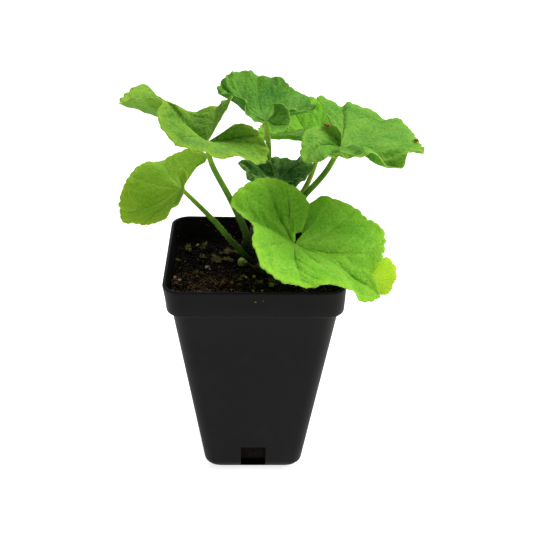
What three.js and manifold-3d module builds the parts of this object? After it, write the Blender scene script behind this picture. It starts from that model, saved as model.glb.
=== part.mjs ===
// Potted zonal geranium: a young plant with seven leaves in a deep square nursery pot.
// Millimetres, +Z up. The origin is the centre of the pot's underside and the pot's front faces -Y.

import * as THREE from "three";
import { mergeVertices } from "three/addons/utils/BufferGeometryUtils.js";
import Module from "manifold-3d";

const wasm = await Module();
wasm.setup();

// Driving dimensions of the pot
const POT_HEIGHT = 121.5;
const RIM_WIDTH = 90;
const BAND_HEIGHT = 14.6;
const BODY_TOP_WIDTH = 83.4;
const BODY_FOOT_WIDTH = 51.2;
const RIM_CORNER = 10;
const FOOT_CORNER = 6;
const FOOT_ROUNDING = 7;
const POT_WALL = 1.5;
const POT_FLOOR = 2.2;
const BAND_WALL = 2.6;
const BAND_STEP = 0.6;
const LIP_WIDTH = 1.7;
const WALL_ROUNDING_STEPS = 3;
const NOTCH_WIDTH = 13.4;
const NOTCH_TOP = 17.3;
const NOTCH_SILL = 3;
const NOTCH_CORNER = 1.2;
const NOTCH_REACH = 13;

// Driving dimensions of the planting
const SOIL_LEVEL = 111;
const SOIL_SLOPE = 0.04;
const SOIL_BUMP = 0.5;
const SOIL_GRAIN = 0.7;
const SEAT_GAP = 0.3;
const STEM_RADIUS = 4.2;
const STEM_BURIED = 16;
const STEM_TAPER = 0.25;
const SCALE_COMPASS = [20, 95, 165, 240, 285];
const SCALE_RADIUS = 1.6;
const SCALE_LENGTH = 4.6;
const SCALE_HEIGHT = 1.6;
const SCALE_ROOM = 2.6;
const BUDS = [{ compass: 200, lean: 0.25 }, { compass: 320, lean: 0.3 }];
const BUD_RADIUS = 1.7;
const PETIOLE_RADIUS = 1.35;
const PETIOLE_TAPER = 0.3;
const BLADE_THICKNESS = 0.8;
const TOOTH_DEPTH = 1.3;
const TOOTH_SHARE = 0.045;
const PUFF_HEIGHT = 0.8;
const MAIN_VEINS = 7;
const SINUS_OPENING = 0.02;
const SCALLOP_ROUNDNESS = 0.7;
const SMOOTH_SHARE = 0.05;

// Sides and steps of the facets
const CORNER_STEPS = 5;
const PETIOLE_SIDES = 8;
const PETIOLE_STEPS = 14;
const STEM_SIDES = 14;
const SOIL_SIDE_STEPS = 5;
const SOIL_RINGS = 10;
const STEM_STEPS = 12;

// Leaves. attach is where the petiole meets the blade. root is where the petiole starts on the stem, as a
// height and a compass direction in degrees from +X, way holds the points it passes on its way up, and
// girth is its thickness beside the plain petiole's.
// margin goes round the blade's edge from one side of the sinus to the other, as [x, y, z] from attach,
// with how far the blade arches up between attach and that point, or with the point that the blade bends
// past on its way there. A flap is a lobe that a deep cut parts from the next one, which it passes under.
const LEAVES = {
  a: {
    attach: [-24.2, -6, 184.4],
    root: [120, 180],
    way: [[-5.8, -2.3, 132], [-13, -4.2, 153], [-22.5, -6, 174]],
    girth: 1.25,
    lobeTeeth: 6,
    margin: [
      [13, 13, 19, 1], [3, 21, 12.5, 0], [-7, 24, 8, -1], [-16, 26, 10.3, -2], [-26, 30, 13.5, -2],
      [-32, 27, 20.5, -1], [-38, 19, 21, 0], [-42.7, 6, 19, 0], [-31, -6, 24, 0], [-20, -9, 25, 1],
      [-22.8, -20, 19.8, 2], [-17.6, -28, 14, 3], [-9, -32, 9, 3], [1, -33, 6.5, 3], [9, -31, 3, 3],
      [15, -27.5, 2.5, 3], [21, -24, 0, 3], [28, -17, -4, 3], [30, -8, 0, 2], [24, -6, 9, 1],
      [18, -4, 11, 0], [13, -2, 10, 0],
    ],
  },
  b: {
    attach: [-37.4, 2, 156.1],
    root: [115, 205],
    way: [[-20.7, 0, 137.6]],
    girth: 0.95,
    lobeTeeth: 6,
    margin: [
      [11.5, 18, 7, [4.5, 9.5, 6]], [12, 21, 11, 1], [6, 23, 13.5, 1], [-4.6, 24, 9.8, 1], [-13.3, 23, 7, 2],
      [-20, 20, 7.5, 2], [-26.3, 16, 4.8, 2], [-30.3, 11, 1, 2], [-32.4, 6, -4.8, 2], [-32.4, 1, -10.2, 2],
      [-30.5, -4, -16.2, 2], [-24, -9, -15.2, 2], [-17, -14, -12.7, 2], [-9, -18, -9, 1], [-5.7, -18, -3.3, 1],
      [-1.7, -14, -1.5, 0],
    ],
  },
  c: {
    attach: [5.1, 14, 188.6],
    root: [119, 119],
    way: [[-0.5, 8, 130], [3.5, 14, 149], [6.8, 18, 168]],
    girth: 1.3,
    lobeTeeth: 6,
    margin: [
      [3, -11, -1, 0], [7, -10, -2, 0], [10, -8, 0, 0], [12, -5, 3, 0], [11, 0, 6, 0], [9, 4, 8, 0],
      [13, 5, 6, 0], [18, 6, 4, 0], [23, 8, 3, 0], [26, 14, 4, 0], [20.4, 24, 6.7, -1], [14.5, 28, 10, -2],
      [7.5, 29, 14.5, -2], [-1, 29, 15.3, -2], [-8, 28, 18, -2], [-16, 25, 18.6, -2],
      [-21.5, 21, 16.7, -1], [-25.2, 16, 11.3, 0], [-21.5, 11, 11.4, 0], [-16, 4, 10.8, 0],
      [-10.3, -1, 9, 0], [-10, -6, 6.2, 0], [-8, -10, 5.4, 0], [-4, -11, 3.5, 0], [-1, -12, 1, 0],
    ],
  },
  d: {
    attach: [36.3, 42, 165.7],
    root: [118, 62],
    way: [[13, 14, 132.5], [26, 26.5, 148]],
    girth: 1.15,
    lobeTeeth: 6,
    margin: [
      [14, 15, 0, 0], [16, 25, 3, 0], [10, 33, 10, 0], [1, 36, 15, 0], [-11, 35, 15, 0], [-24, 27, 11, 0],
      [-34, 14, 5, 0], [-33, 1, 4.5, 1], [-26, -10, 9.8, 2], [-18, -16, 13.3, 2], [-9, -18, 14.5, 2],
      [0, -17, 13, 2], [7, -12, 10, 1],
    ],
  },
  e: {
    attach: [41.3, -5, 181.4],
    root: [121, 20],
    way: [[12.7, 6.5, 136], [25.2, 7.5, 150.5], [34.6, 3, 164.5]],
    girth: 1.3,
    lobeTeeth: 6,
    margin: [
      [-7, 12, 8, [-1, 6, 3]], [-12, 13, 7, 1], [-16.5, 10, 5, 2],
      [-19.2, -2, 1.5, 2], [-19, -11, -1.5, 2], [-11, -24, 3.4, 2], [-3, -31, 8, 2], [5, -34, 8, 2],
      [10, -32, 9, 1], [14, -28, 5.4, 1], [18, -24.5, 1.4, 1], [22.5, -22, -1.5, 1], [28.5, -20, -1, 1],
      [32, -15, 4.4, 1], [40.2, -8, 1.4, 2], [41.5, 6, 0.7, 2], [38.7, 20, 3.2, 2], [32.5, 32, 5, 2],
      [27, 34.5, 3, 2], [20, 37, 6.4, 2], [9, 39, 12, 2], [1, 37, 10.6, 1], [-8, 34, 15, 0],
      [-10, 32, 15, [0, 13, 6]],
    ],
  },
  f: {
    attach: [11.2, 10, 157.6],
    root: [125, 45],
    way: [[7, 7.5, 141]],
    girth: 0.8,
    lobeTeeth: 4,
    margin: [
      [-5, 5, 10, [-2.5, 2.5, 4]], [-11, 4, 10, 0], [-19.6, 2, 10, 0], [-17.5, -2, 7.5, 0],
      [-13.8, -6, 6, 1], [-8, -9, 6.4, 1], [-1, -9, 3, 1], [5, -8, 1, 1], [10, -5, -0.5, 1], [13.6, -2, 2, 1],
      [17, 1, 4, 0], [19, 4, 8, 0], [13, 7, 12, 0], [7, 8, 9, 0], [2, 7, 11, 0],
    ],
  },
  g: {
    attach: [19.4, -24, 137.9],
    root: [116, 318],
    way: [[12, -14, 126.5]],
    girth: 1,
    lobeTeeth: 8,
    margin: [
      [8, 20, 12, [5.5, 9.5, 8.5]], [6, 22, 15, -1], [1.5, 24, 19.7, -1], [-6, 24, 24, -1], [-12, 23, 26.4, -1],
      [-18.4, 22, 26, -1], [-28.4, 16, 22.6, 0], [-32, 11, 18, 0], [-30.3, 6, 16.6, 0], [-25, -1, 15, 0],
      [-21, -8, 15, 1], [-21, -16, 14, 1], [-21, -23, 11, 2], [-17, -32, 4, 2], [-11, -36, 0, 2],
      [-5, -38, -2, 2], [9, -37, -4, 2], [16, -34, -4, 2], [22, -32, -7.5, 3], [28.7, -29, -11.6, 4],
      [31.5, -26, -18, 5], [38, -22, -20, 4], [42, -18, -19.5, 3], [40, -17, -15, 2.5], [39, -13, -10.5, 1.5],
      [38, -10, -10, 1], [41, -7, -8, 1], [44, -3, -5, 1], [46, 7, 1, 1], [44, 12, 4, 0], [39, 17, 6.2, 0],
      [32, 21, 10.5, 0], [24, 24, 13.4, 0], [16, 26, 15, [12, 11, 7]], [10.3, 27, 12.5, [10.5, 10, 5.5]],
      [4, 26, 6.5, [8.5, 8.5, 4]],
    ],
    flap: {
      attach: [54, -39.7, 125.7],
      lobeTeeth: 2,
      margin: [
        [6.5, 6.7, -11.2, 0], [9.7, 7.2, -11.7, 0], [13.2, 8.7, -11.4, 0], [15, 10.7, -7.3, 0],
        [16.9, 13.7, -3.2, 0], [16.4, 17.7, 0.4, 0], [12.4, 20.7, 3.3, 0], [8.5, 19.2, 1.9, 0],
      ],
    },
  },
};

const group = new THREE.Group();

// Random numbers from 0 to 1 that come out the same each time.
function seeded(seed) {
  let state = seed;
  return () => {
    state = (state * 1664525 + 1013904223) % 4294967296;
    return state / 4294967296;
  };
}

function addPiece(name, geometry, material) {
  const piece = new THREE.Mesh(geometry, material);
  piece.name = name;
  group.add(piece);
}

// A closed geometry as a solid that can be joined and cut.
function toSolid(geometry) {
  const bare = geometry.clone();
  bare.deleteAttribute("normal");
  bare.deleteAttribute("uv");
  const merged = mergeVertices(bare, 1e-4);
  return new wasm.Manifold(
    new wasm.Mesh({
      numProp: 3,
      vertProperties: merged.attributes.position.array,
      triVerts: new Uint32Array(merged.index.array),
    }),
  );
}

function toGeometry(solid) {
  const mesh = solid.getMesh();
  return new THREE.BufferGeometry()
    .setAttribute("position", new THREE.BufferAttribute(mesh.vertProperties, 3))
    .setIndex(new THREE.BufferAttribute(mesh.triVerts, 1));
}

function fromLists(points, triangles) {
  return new THREE.BufferGeometry()
    .setAttribute("position", new THREE.Float32BufferAttribute(points.flatMap((p) => [p.x, p.y, p.z]), 3))
    .setIndex(triangles);
}

// A closed skin over rings of points that run anticlockwise seen from above, closed by a fan at each end.
function loft(first, rings, last) {
  const count = rings[0].length;
  const points = [first, ...rings.flat(), last];
  const triangles = [];
  const at = (ring, i) => 1 + ring * count + (i % count);
  for (let i = 0; i < count; i++) {
    triangles.push(0, at(0, i + 1), at(0, i));
    for (let ring = 0; ring + 1 < rings.length; ring++) {
      triangles.push(at(ring, i), at(ring, i + 1), at(ring + 1, i + 1));
      triangles.push(at(ring, i), at(ring + 1, i + 1), at(ring + 1, i));
    }
    triangles.push(at(rings.length - 1, i), at(rings.length - 1, i + 1), points.length - 1);
  }
  return fromLists(points, triangles);
}

// A square of the given half width with round corners, with extra points along its straight sides.
function roundedSquare(half, corner, z, sideSteps = 1) {
  const ring = [];
  for (let side = 0; side < 4; side++) {
    const turn = new THREE.Matrix4().makeRotationZ((side * Math.PI) / 2);
    for (let i = 0; i <= CORNER_STEPS; i++) {
      const angle = ((i / CORNER_STEPS) * Math.PI) / 2;
      const x = half - corner + corner * Math.cos(angle);
      const y = half - corner + corner * Math.sin(angle);
      ring.push(new THREE.Vector3(x, y, z).applyMatrix4(turn));
    }
    for (let i = 1; i < sideSteps; i++) {
      const x = (half - corner) * (1 - (2 * i) / sideSteps);
      ring.push(new THREE.Vector3(x, half, z).applyMatrix4(turn));
    }
  }
  return ring;
}

// Pot

const BAND_FOOT = POT_HEIGHT - BAND_HEIGHT;

function wallHalf(z) {
  return (BODY_FOOT_WIDTH + ((BODY_TOP_WIDTH - BODY_FOOT_WIDTH) * z) / BAND_FOOT) / 2;
}

function wallCorner(z) {
  return FOOT_CORNER + ((RIM_CORNER - LIP_WIDTH - FOOT_CORNER) * z) / BAND_FOOT;
}

// The rounding from the floor up into the wall, for the outside and, drawn in, for the hollow.
function footRows(radius, floor, inset) {
  const rows = [];
  for (let i = 0; i <= WALL_ROUNDING_STEPS; i++) {
    const angle = ((i / WALL_ROUNDING_STEPS) * Math.PI) / 2;
    const z = floor + radius * (1 - Math.cos(angle));
    const half = wallHalf(z) - inset - radius * (1 - Math.sin(angle));
    rows.push([half, FOOT_CORNER - inset, z]);
  }
  return rows;
}

// The pot's hollow from its floor to the step under the rim band, as [half width, corner, z], drawn in by gap.
function hollow(gap) {
  const inset = POT_WALL + gap;
  const step = BAND_FOOT + inset;
  return [
    ...footRows(FOOT_ROUNDING - POT_WALL, POT_FLOOR + gap, inset),
    [wallHalf(step) - inset, wallCorner(step) - inset, step - BAND_STEP],
    [RIM_WIDTH / 2 - BAND_WALL - gap, RIM_CORNER - BAND_WALL - gap, step],
  ];
}

function buildPot() {
  // The band's outside from its step to the lip, as how far each row lies inside the rim, and its height
  const band = [
    [LIP_WIDTH, BAND_FOOT],
    [0.8, BAND_FOOT + 1.2],
    [0, POT_HEIGHT - 0.8],
    [0.5, POT_HEIGHT],
    [1.3, POT_HEIGHT],
    [LIP_WIDTH, POT_HEIGHT - 0.7],
  ];
  const rows = [
    ...footRows(FOOT_ROUNDING, 0, 0),
    [wallHalf(BAND_FOOT), wallCorner(BAND_FOOT), BAND_FOOT - 0.3],
    ...band.map(([inside, z]) => [RIM_WIDTH / 2 - inside, RIM_CORNER - inside, z]),
    ...hollow(0).reverse(),
  ];
  const rings = rows.map((row) => roundedSquare(...row));
  let pot = toSolid(loft(new THREE.Vector3(0, 0, 0), rings, new THREE.Vector3(0, 0, POT_FLOOR)));

  // A drain notch low in each side, from a thin sill to a straight top with eased corners
  const outline = new THREE.Shape();
  const w = NOTCH_WIDTH / 2;
  outline.moveTo(-w, NOTCH_SILL);
  outline.lineTo(w, NOTCH_SILL);
  outline.lineTo(w, NOTCH_TOP - NOTCH_CORNER);
  outline.quadraticCurveTo(w, NOTCH_TOP, w - NOTCH_CORNER, NOTCH_TOP);
  outline.lineTo(-w + NOTCH_CORNER, NOTCH_TOP);
  outline.quadraticCurveTo(-w, NOTCH_TOP, -w, NOTCH_TOP - NOTCH_CORNER);
  outline.closePath();
  for (let side = 0; side < 4; side++) {
    const settings = { depth: NOTCH_REACH, bevelEnabled: false, curveSegments: 3 };
    const cutter = new THREE.ExtrudeGeometry(outline, settings);
    cutter.rotateX(Math.PI / 2);
    cutter.translate(0, -BODY_FOOT_WIDTH / 2 + FOOT_ROUNDING + 1, 0);
    cutter.rotateZ((side * Math.PI) / 2);
    pot = pot.subtract(toSolid(cutter));
  }
  return pot;
}

// Main stem

const stemPath = new THREE.CatmullRomCurve3([
  new THREE.Vector3(4.5, 1, SOIL_LEVEL - STEM_BURIED),
  new THREE.Vector3(3.6, 0.5, SOIL_LEVEL - 2),
  new THREE.Vector3(1.6, 0, SOIL_LEVEL + 7),
  new THREE.Vector3(0, -0.5, SOIL_LEVEL + 14),
  new THREE.Vector3(-0.6, -0.5, SOIL_LEVEL + 19),
]);

// The hole runs from just under the stem's foot, and a little wider than it, out through the mix's top
const holePath = new THREE.LineCurve3(
  stemPath.getPoint(0).add(new THREE.Vector3(0, 0, -SEAT_GAP)),
  new THREE.Vector3(3.2, 0.4, SOIL_LEVEL + 8),
);

// A round rod along a path, with its radius given for each share of the way.
function rod(path, sides, steps, radiusAt) {
  const section = new THREE.Shape();
  for (let i = 0; i < sides; i++) {
    const angle = (2 * Math.PI * i) / sides;
    const place = i ? "lineTo" : "moveTo";
    section[place](Math.cos(angle), Math.sin(angle));
  }
  section.closePath();
  const geometry = new THREE.ExtrudeGeometry(section, { steps, extrudePath: path, curveSegments: 1 });
  const centres = path.getSpacedPoints(steps);
  const position = geometry.attributes.position;
  const point = new THREE.Vector3();
  for (let i = 0; i < position.count; i++) {
    point.fromBufferAttribute(position, i);
    let nearest = 0;
    centres.forEach((centre, k) => {
      const here = Math.abs(centre.distanceTo(point) - 1);
      const best = Math.abs(centres[nearest].distanceTo(point) - 1);
      if (here < best) nearest = k;
    });
    point.sub(centres[nearest]).multiplyScalar(radiusAt(nearest / steps)).add(centres[nearest]);
    position.setXYZ(i, point.x, point.y, point.z);
  }
  return geometry;
}

function stemRadius(share, extra) {
  const taper = 1 - STEM_TAPER * share;
  const tip = Math.min(1, 2.2 * (1 - share) + 0.25);
  return STEM_RADIUS * taper * Math.sqrt(tip) + extra;
}

function stemPoint(height) {
  let best = stemPath.getPoint(0);
  for (const point of stemPath.getSpacedPoints(60)) {
    if (Math.abs(point.z - height) < Math.abs(best.z - height)) best = point;
  }
  return best;
}

// Moves a shape from the origin to the stem's flank, at the given height above the mix's level.
function scalePlace(geometry, compass, height) {
  const centre = stemPoint(SOIL_LEVEL + height);
  geometry.translate(STEM_RADIUS * 0.95, 0, 0);
  geometry.rotateZ(THREE.MathUtils.degToRad(compass));
  geometry.translate(centre.x, centre.y, centre.z);
  return toSolid(geometry);
}

// The stem with the dry scales of old leaf bases and the folded bud at its tip, grown as one piece
function buildStem() {
  let stem = toSolid(rod(stemPath, STEM_SIDES, STEM_STEPS, (share) => stemRadius(share, 0)));
  for (const compass of SCALE_COMPASS) {
    const scale = new THREE.ConeGeometry(SCALE_RADIUS, SCALE_LENGTH, 5);
    scale.scale(1, 1, 0.55);
    scale.rotateX(Math.PI / 2);
    scale.rotateY(0.3);
    stem = stem.add(scalePlace(scale, compass, SCALE_HEIGHT));
  }
  const tip = stemPath.getPoint(1);
  for (const { compass, lean } of BUDS) {
    const bud = new THREE.SphereGeometry(BUD_RADIUS, 8, 6);
    bud.rotateX(Math.PI / 2);
    bud.scale(0.7, 1, 2);
    bud.translate(0, 0, SCALE_HEIGHT);
    bud.rotateY(lean);
    bud.rotateZ(THREE.MathUtils.degToRad(compass));
    bud.translate(tip.x, tip.y, tip.z);
    stem = stem.add(toSolid(bud));
  }
  return stem;
}

// Potting mix: fills the hollow, with a bumpy top that lies lower at the back, moss clumps and lumps

const LUMPS = [
  { x: -36, y: 24, radius: 4, height: 2.2 },
  { x: -27, y: 28, radius: 3.5, height: 1.8 },
  { x: -16, y: 18, radius: 4.5, height: 2.4 },
  { x: -11, y: 12, radius: 3.6, height: 2.6 },
  { x: -34, y: -14, radius: 6, height: 1.6 },
  { x: -18, y: -20, radius: 5, height: 1.4 },
  { x: 8, y: -19, radius: 3, height: 2 },
  { x: 18, y: -20, radius: 3.6, height: 2.4 },
  { x: 30, y: 10, radius: 5, height: 1.6 },
  { x: 22, y: 26, radius: 4.5, height: 1.8 },
  { x: 2, y: 30, radius: 5, height: 1.5 },
];

function soilHeight(x, y) {
  let z = SOIL_LEVEL - SOIL_SLOPE * y;
  z += SOIL_BUMP * Math.sin(x * 0.31 + 1.3) * Math.cos(y * 0.27 - 0.4);
  z += 0.5 * SOIL_BUMP * Math.sin(x * 0.83 - y * 0.61);
  for (const lump of LUMPS) {
    const away = Math.hypot(x - lump.x, y - lump.y) / lump.radius;
    z += lump.height * Math.exp(-away * away);
  }
  return z;
}

function buildMix() {
  const rows = hollow(SEAT_GAP);
  const rings = rows.map((row) => roundedSquare(...row, SOIL_SIDE_STEPS));
  const inside = BAND_WALL + SEAT_GAP;
  const grain = seeded(7);
  for (let k = 0; k < SOIL_RINGS; k++) {
    const share = 1 - k / SOIL_RINGS;
    const half = (RIM_WIDTH / 2 - inside) * share;
    const ring = roundedSquare(half, (RIM_CORNER - inside) * share, 0, SOIL_SIDE_STEPS);
    ring.forEach((point) => {
      point.z = soilHeight(point.x, point.y) + (grain() - 0.5) * SOIL_GRAIN;
    });
    rings.push(ring);
  }
  const top = new THREE.Vector3(0, 0, soilHeight(0, 0));
  let mix = toSolid(loft(new THREE.Vector3(0, 0, rows[0][2]), rings, top));

  // The stem's plain hole, open at the top, with room at its mouth for the scales
  mix = mix.subtract(toSolid(rod(holePath, STEM_SIDES, STEM_STEPS, () => STEM_RADIUS + SEAT_GAP)));
  for (const compass of SCALE_COMPASS) {
    mix = mix.subtract(scalePlace(new THREE.SphereGeometry(SCALE_ROOM, 6, 5), compass, SEAT_GAP));
  }
  return mix;
}

// Blades

// A smooth run of values through the given points, by the share of the way along them.
function smoothRun(points, stations) {
  const slopes = points.map((point, i) => {
    const before = Math.max(i - 1, 0);
    const after = Math.min(i + 1, points.length - 1);
    return points[after].clone().sub(points[before]).divideScalar(stations[after] - stations[before]);
  });
  return (share) => {
    let i = 0;
    while (i < points.length - 2 && share > stations[i + 1]) i++;
    const width = stations[i + 1] - stations[i];
    const s = (share - stations[i]) / width;
    return points[i].clone().multiplyScalar((1 + 2 * s) * (1 - s) * (1 - s))
      .addScaledVector(slopes[i], width * s * (1 - s) * (1 - s))
      .addScaledVector(points[i + 1], s * s * (3 - 2 * s))
      .addScaledVector(slopes[i + 1], width * s * s * (s - 1));
  };
}

// Each point drawn towards the middle of its neighbours.
function smoothed(points) {
  return points.map((point, i) => {
    if (i === 0 || i === points.length - 1) return point.clone();
    return points[i - 1].clone().add(points[i + 1]).multiplyScalar(0.25).addScaledVector(point, 0.5);
  });
}

// The blade's surface without its thickness, as a function of the share round the margin and the share
// of the way out from the petiole.
function bladeSurface(leaf) {
  const points = leaf.margin.map((m) => new THREE.Vector3(m[0], m[1], m[2]));
  const stations = [0];
  for (let i = 1; i < points.length; i++) {
    stations.push(stations[i - 1] + points[i].distanceTo(points[i - 1]));
  }
  const length = stations.at(-1);
  stations.forEach((station, i) => {
    stations[i] = station / length;
  });
  const edge = smoothRun(points, stations);
  const ways = smoothed(smoothed(smoothed(points))).map((point, i) => {
    const arch = leaf.margin[i][3];
    if (Array.isArray(arch)) return new THREE.Vector3(...arch);
    const along = points[Math.min(i + 1, points.length - 1)].clone().sub(points[Math.max(i - 1, 0)]);
    const up = points[i].clone().cross(along).normalize();
    return point.clone().multiplyScalar(0.5).addScaledVector(up, 2 * arch);
  });
  const bend = smoothRun(ways, stations);
  const turns = [0];
  for (let i = 1; i < ways.length; i++) turns.push(turns[i - 1] + ways[i].angleTo(ways[i - 1]));
  const shareOfTurn = (round) => {
    const turn = round * turns.at(-1);
    let i = 1;
    while (i < turns.length - 1 && turn > turns[i]) i++;
    return THREE.MathUtils.mapLinear(turn, turns[i - 1], turns[i], stations[i - 1], stations[i]);
  };
  const teeth = MAIN_VEINS * leaf.lobeTeeth;
  const place = (round, out) => {
    const opened = 0.5 + (round - 0.5) * (1 - SINUS_OPENING * (1 - out));
    const share = THREE.MathUtils.lerp(shareOfTurn(opened), opened, out);
    const margin = edge(share);
    if (out > 0.97) {
      const along = edge(Math.min(share + 0.01, 1)).sub(edge(Math.max(share - 0.01, 0))).normalize();
      const inward = margin.clone().negate();
      inward.addScaledVector(along, -inward.dot(along)).normalize();
      const scallop = Math.abs(Math.sin(Math.PI * teeth * round)) ** SCALLOP_ROUNDNESS;
      const fade = Math.min(1, round / SMOOTH_SHARE, (1 - round) / SMOOTH_SHARE);
      const facing = -inward.dot(margin) / margin.length();
      const depth = Math.min(TOOTH_DEPTH, TOOTH_SHARE * margin.length()) * facing * fade;
      margin.addScaledVector(inward, depth * (1 - scallop));
    }
    return bend(share).multiplyScalar(2 * out * (1 - out)).addScaledVector(margin, out * out);
  };
  return (round, out) => {
    const base = place(round, out);
    const step = 0.004;
    const outward = place(round, Math.min(out + step, 0.96)).sub(place(round, Math.min(out, 0.96) - step));
    const inner = Math.min(out, 0.96);
    const sideways = place(Math.min(round + step, 1), inner).sub(place(Math.max(round - step, 0), inner));
    const up = outward.cross(sideways).normalize();
    const ridge = Math.abs(Math.cos(Math.PI * MAIN_VEINS * round)) - 0.5;
    return base.addScaledVector(up, 2 * PUFF_HEIGHT * ridge * out * (1.6 - out));
  };
}

// A blade: rings of points round the petiole, coarser towards it, given an upper and a lower face that are
// split into triangles alike, with a wall along the margin.
function buildBlade(leaf) {
  const surface = bladeSurface(leaf);
  const teeth = MAIN_VEINS * leaf.lobeTeeth;
  const rows = [
    { out: 0.12, count: teeth / 2 },
    { out: 0.3, count: teeth / 2 },
    { out: 0.5, count: teeth },
    { out: 0.72, count: teeth },
    { out: 0.88, count: teeth },
    { out: 1, count: 2 * teeth },
  ];
  const points = [new THREE.Vector3(0, 0, 0)];
  for (const row of rows) {
    row.start = points.length;
    for (let i = 0; i <= row.count; i++) points.push(surface(i / row.count, row.out));
  }
  const triangles = [];
  for (let i = 0; i < rows[0].count; i++) triangles.push(0, rows[0].start + i, rows[0].start + i + 1);
  for (let r = 0; r + 1 < rows.length; r++) {
    const near = rows[r];
    const far = rows[r + 1];
    for (let i = 0; i < near.count; i++) {
      const a = near.start + i;
      if (far.count === near.count) {
        const b = far.start + i;
        triangles.push(a, b, b + 1, a, b + 1, a + 1);
      } else {
        const b = far.start + 2 * i;
        triangles.push(a, b, b + 1, a, b + 1, a + 1, a + 1, b + 1, b + 2);
      }
    }
  }
  return thicken(points, triangles, BLADE_THICKNESS).translate(...leaf.attach);
}

// A sheet of triangles made into a closed plate.
function thicken(points, triangles, thickness) {
  const sheet = fromLists(points, triangles);
  sheet.computeVertexNormals();
  const normals = sheet.attributes.normal;
  const offset = (side) => points.map((point, i) => {
    const normal = new THREE.Vector3().fromBufferAttribute(normals, i);
    return point.clone().addScaledVector(normal, (side * thickness) / 2);
  });
  const count = points.length;
  const all = [...triangles];
  const edges = new Set();
  for (let i = 0; i < triangles.length; i += 3) {
    const [a, b, c] = triangles.slice(i, i + 3);
    all.push(a + count, c + count, b + count);
    edges.add(`${a},${b}`).add(`${b},${c}`).add(`${c},${a}`);
  }
  for (const edge of edges) {
    const [a, b] = edge.split(",").map(Number);
    if (!edges.has(`${b},${a}`)) all.push(b, a, a + count, b, a + count, b + count);
  }
  return fromLists([...offset(1), ...offset(-1)], all);
}

// Petioles: from inside the stem's outline, which then cuts them off a small gap clear of it, up to just
// under the blade
function buildPetiole(leaf, stemSpace) {
  const attach = new THREE.Vector3(...leaf.attach);
  const [height, compass] = leaf.root;
  const angle = THREE.MathUtils.degToRad(compass);
  const start = stemPoint(height);
  const sideways = new THREE.Vector3(Math.cos(angle), Math.sin(angle), 0);
  const leaving = start.clone().addScaledVector(sideways, STEM_RADIUS + 1.2).add(new THREE.Vector3(0, 0, 3.5));
  const ways = leaf.way.map((point) => new THREE.Vector3(...point));
  const arrival = attach.clone().sub(ways.at(-1)).normalize();
  const end = attach.clone().addScaledVector(arrival, -(BLADE_THICKNESS / 2 + SEAT_GAP + 0.1));
  const path = new THREE.CatmullRomCurve3([start, leaving, ...ways, end]);
  const radius = (share) => PETIOLE_RADIUS * leaf.girth * (1.15 - PETIOLE_TAPER * share);
  return toSolid(rod(path, PETIOLE_SIDES, PETIOLE_STEPS, radius)).subtract(stemSpace);
}

// Materials
const blackPlastic = new THREE.MeshStandardMaterial({ color: 0x212121, roughness: 0.55, metalness: 0 });
const peat = new THREE.MeshStandardMaterial({ color: 0x2b1d14, roughness: 1, metalness: 0 });
const stemGreen = new THREE.MeshStandardMaterial({ color: 0x4c6b25, roughness: 0.6, metalness: 0 });
const petioleGreen = new THREE.MeshStandardMaterial({ color: 0x5f8a2c, roughness: 0.6, metalness: 0 });
const BLADE_COLOURS = {
  a: 0x6f9f3c,
  b: 0x86a52f,
  c: 0x5d9a44,
  d: 0x7cae38,
  e: 0x649c45,
  f: 0x24531c,
  g: 0x78b83c,
};

addPiece("pot", toGeometry(buildPot()), blackPlastic);
addPiece("potting_mix", toGeometry(buildMix()), peat);
addPiece("main_stem", toGeometry(buildStem()), stemGreen);
const stemSpace = toSolid(rod(stemPath, STEM_SIDES, STEM_STEPS, (share) => stemRadius(share, SEAT_GAP)));
for (const [name, leaf] of Object.entries(LEAVES)) {
  addPiece(`petiole_${name}`, toGeometry(buildPetiole(leaf, stemSpace)), petioleGreen);
  const color = BLADE_COLOURS[name];
  const bladeGreen = new THREE.MeshStandardMaterial({ color, roughness: 0.5, metalness: 0 });
  const flap = leaf.flap && toSolid(buildBlade(leaf.flap));
  const blade = flap ? toGeometry(toSolid(buildBlade(leaf)).add(flap)) : buildBlade(leaf);
  addPiece(`blade_${name}`, blade, bladeGreen);
}

export default group;
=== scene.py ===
import random
from math import acos, cos, exp, hypot, pi, radians, sin, sqrt

import bmesh
import bpy
import numpy as np
from mathutils import Matrix, Vector, noise


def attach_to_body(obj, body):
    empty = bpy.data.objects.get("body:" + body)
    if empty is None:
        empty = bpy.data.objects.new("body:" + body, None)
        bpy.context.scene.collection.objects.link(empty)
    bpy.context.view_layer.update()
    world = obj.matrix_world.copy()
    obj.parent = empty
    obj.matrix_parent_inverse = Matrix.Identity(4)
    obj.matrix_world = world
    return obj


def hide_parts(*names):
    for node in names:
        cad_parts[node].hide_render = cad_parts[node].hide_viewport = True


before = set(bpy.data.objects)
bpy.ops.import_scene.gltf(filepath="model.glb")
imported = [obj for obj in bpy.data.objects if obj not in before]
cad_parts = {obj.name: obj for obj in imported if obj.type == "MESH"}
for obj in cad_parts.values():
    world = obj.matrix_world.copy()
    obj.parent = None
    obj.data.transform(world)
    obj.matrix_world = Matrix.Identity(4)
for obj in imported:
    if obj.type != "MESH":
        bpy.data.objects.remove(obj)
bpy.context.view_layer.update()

MM = 0.001

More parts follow.
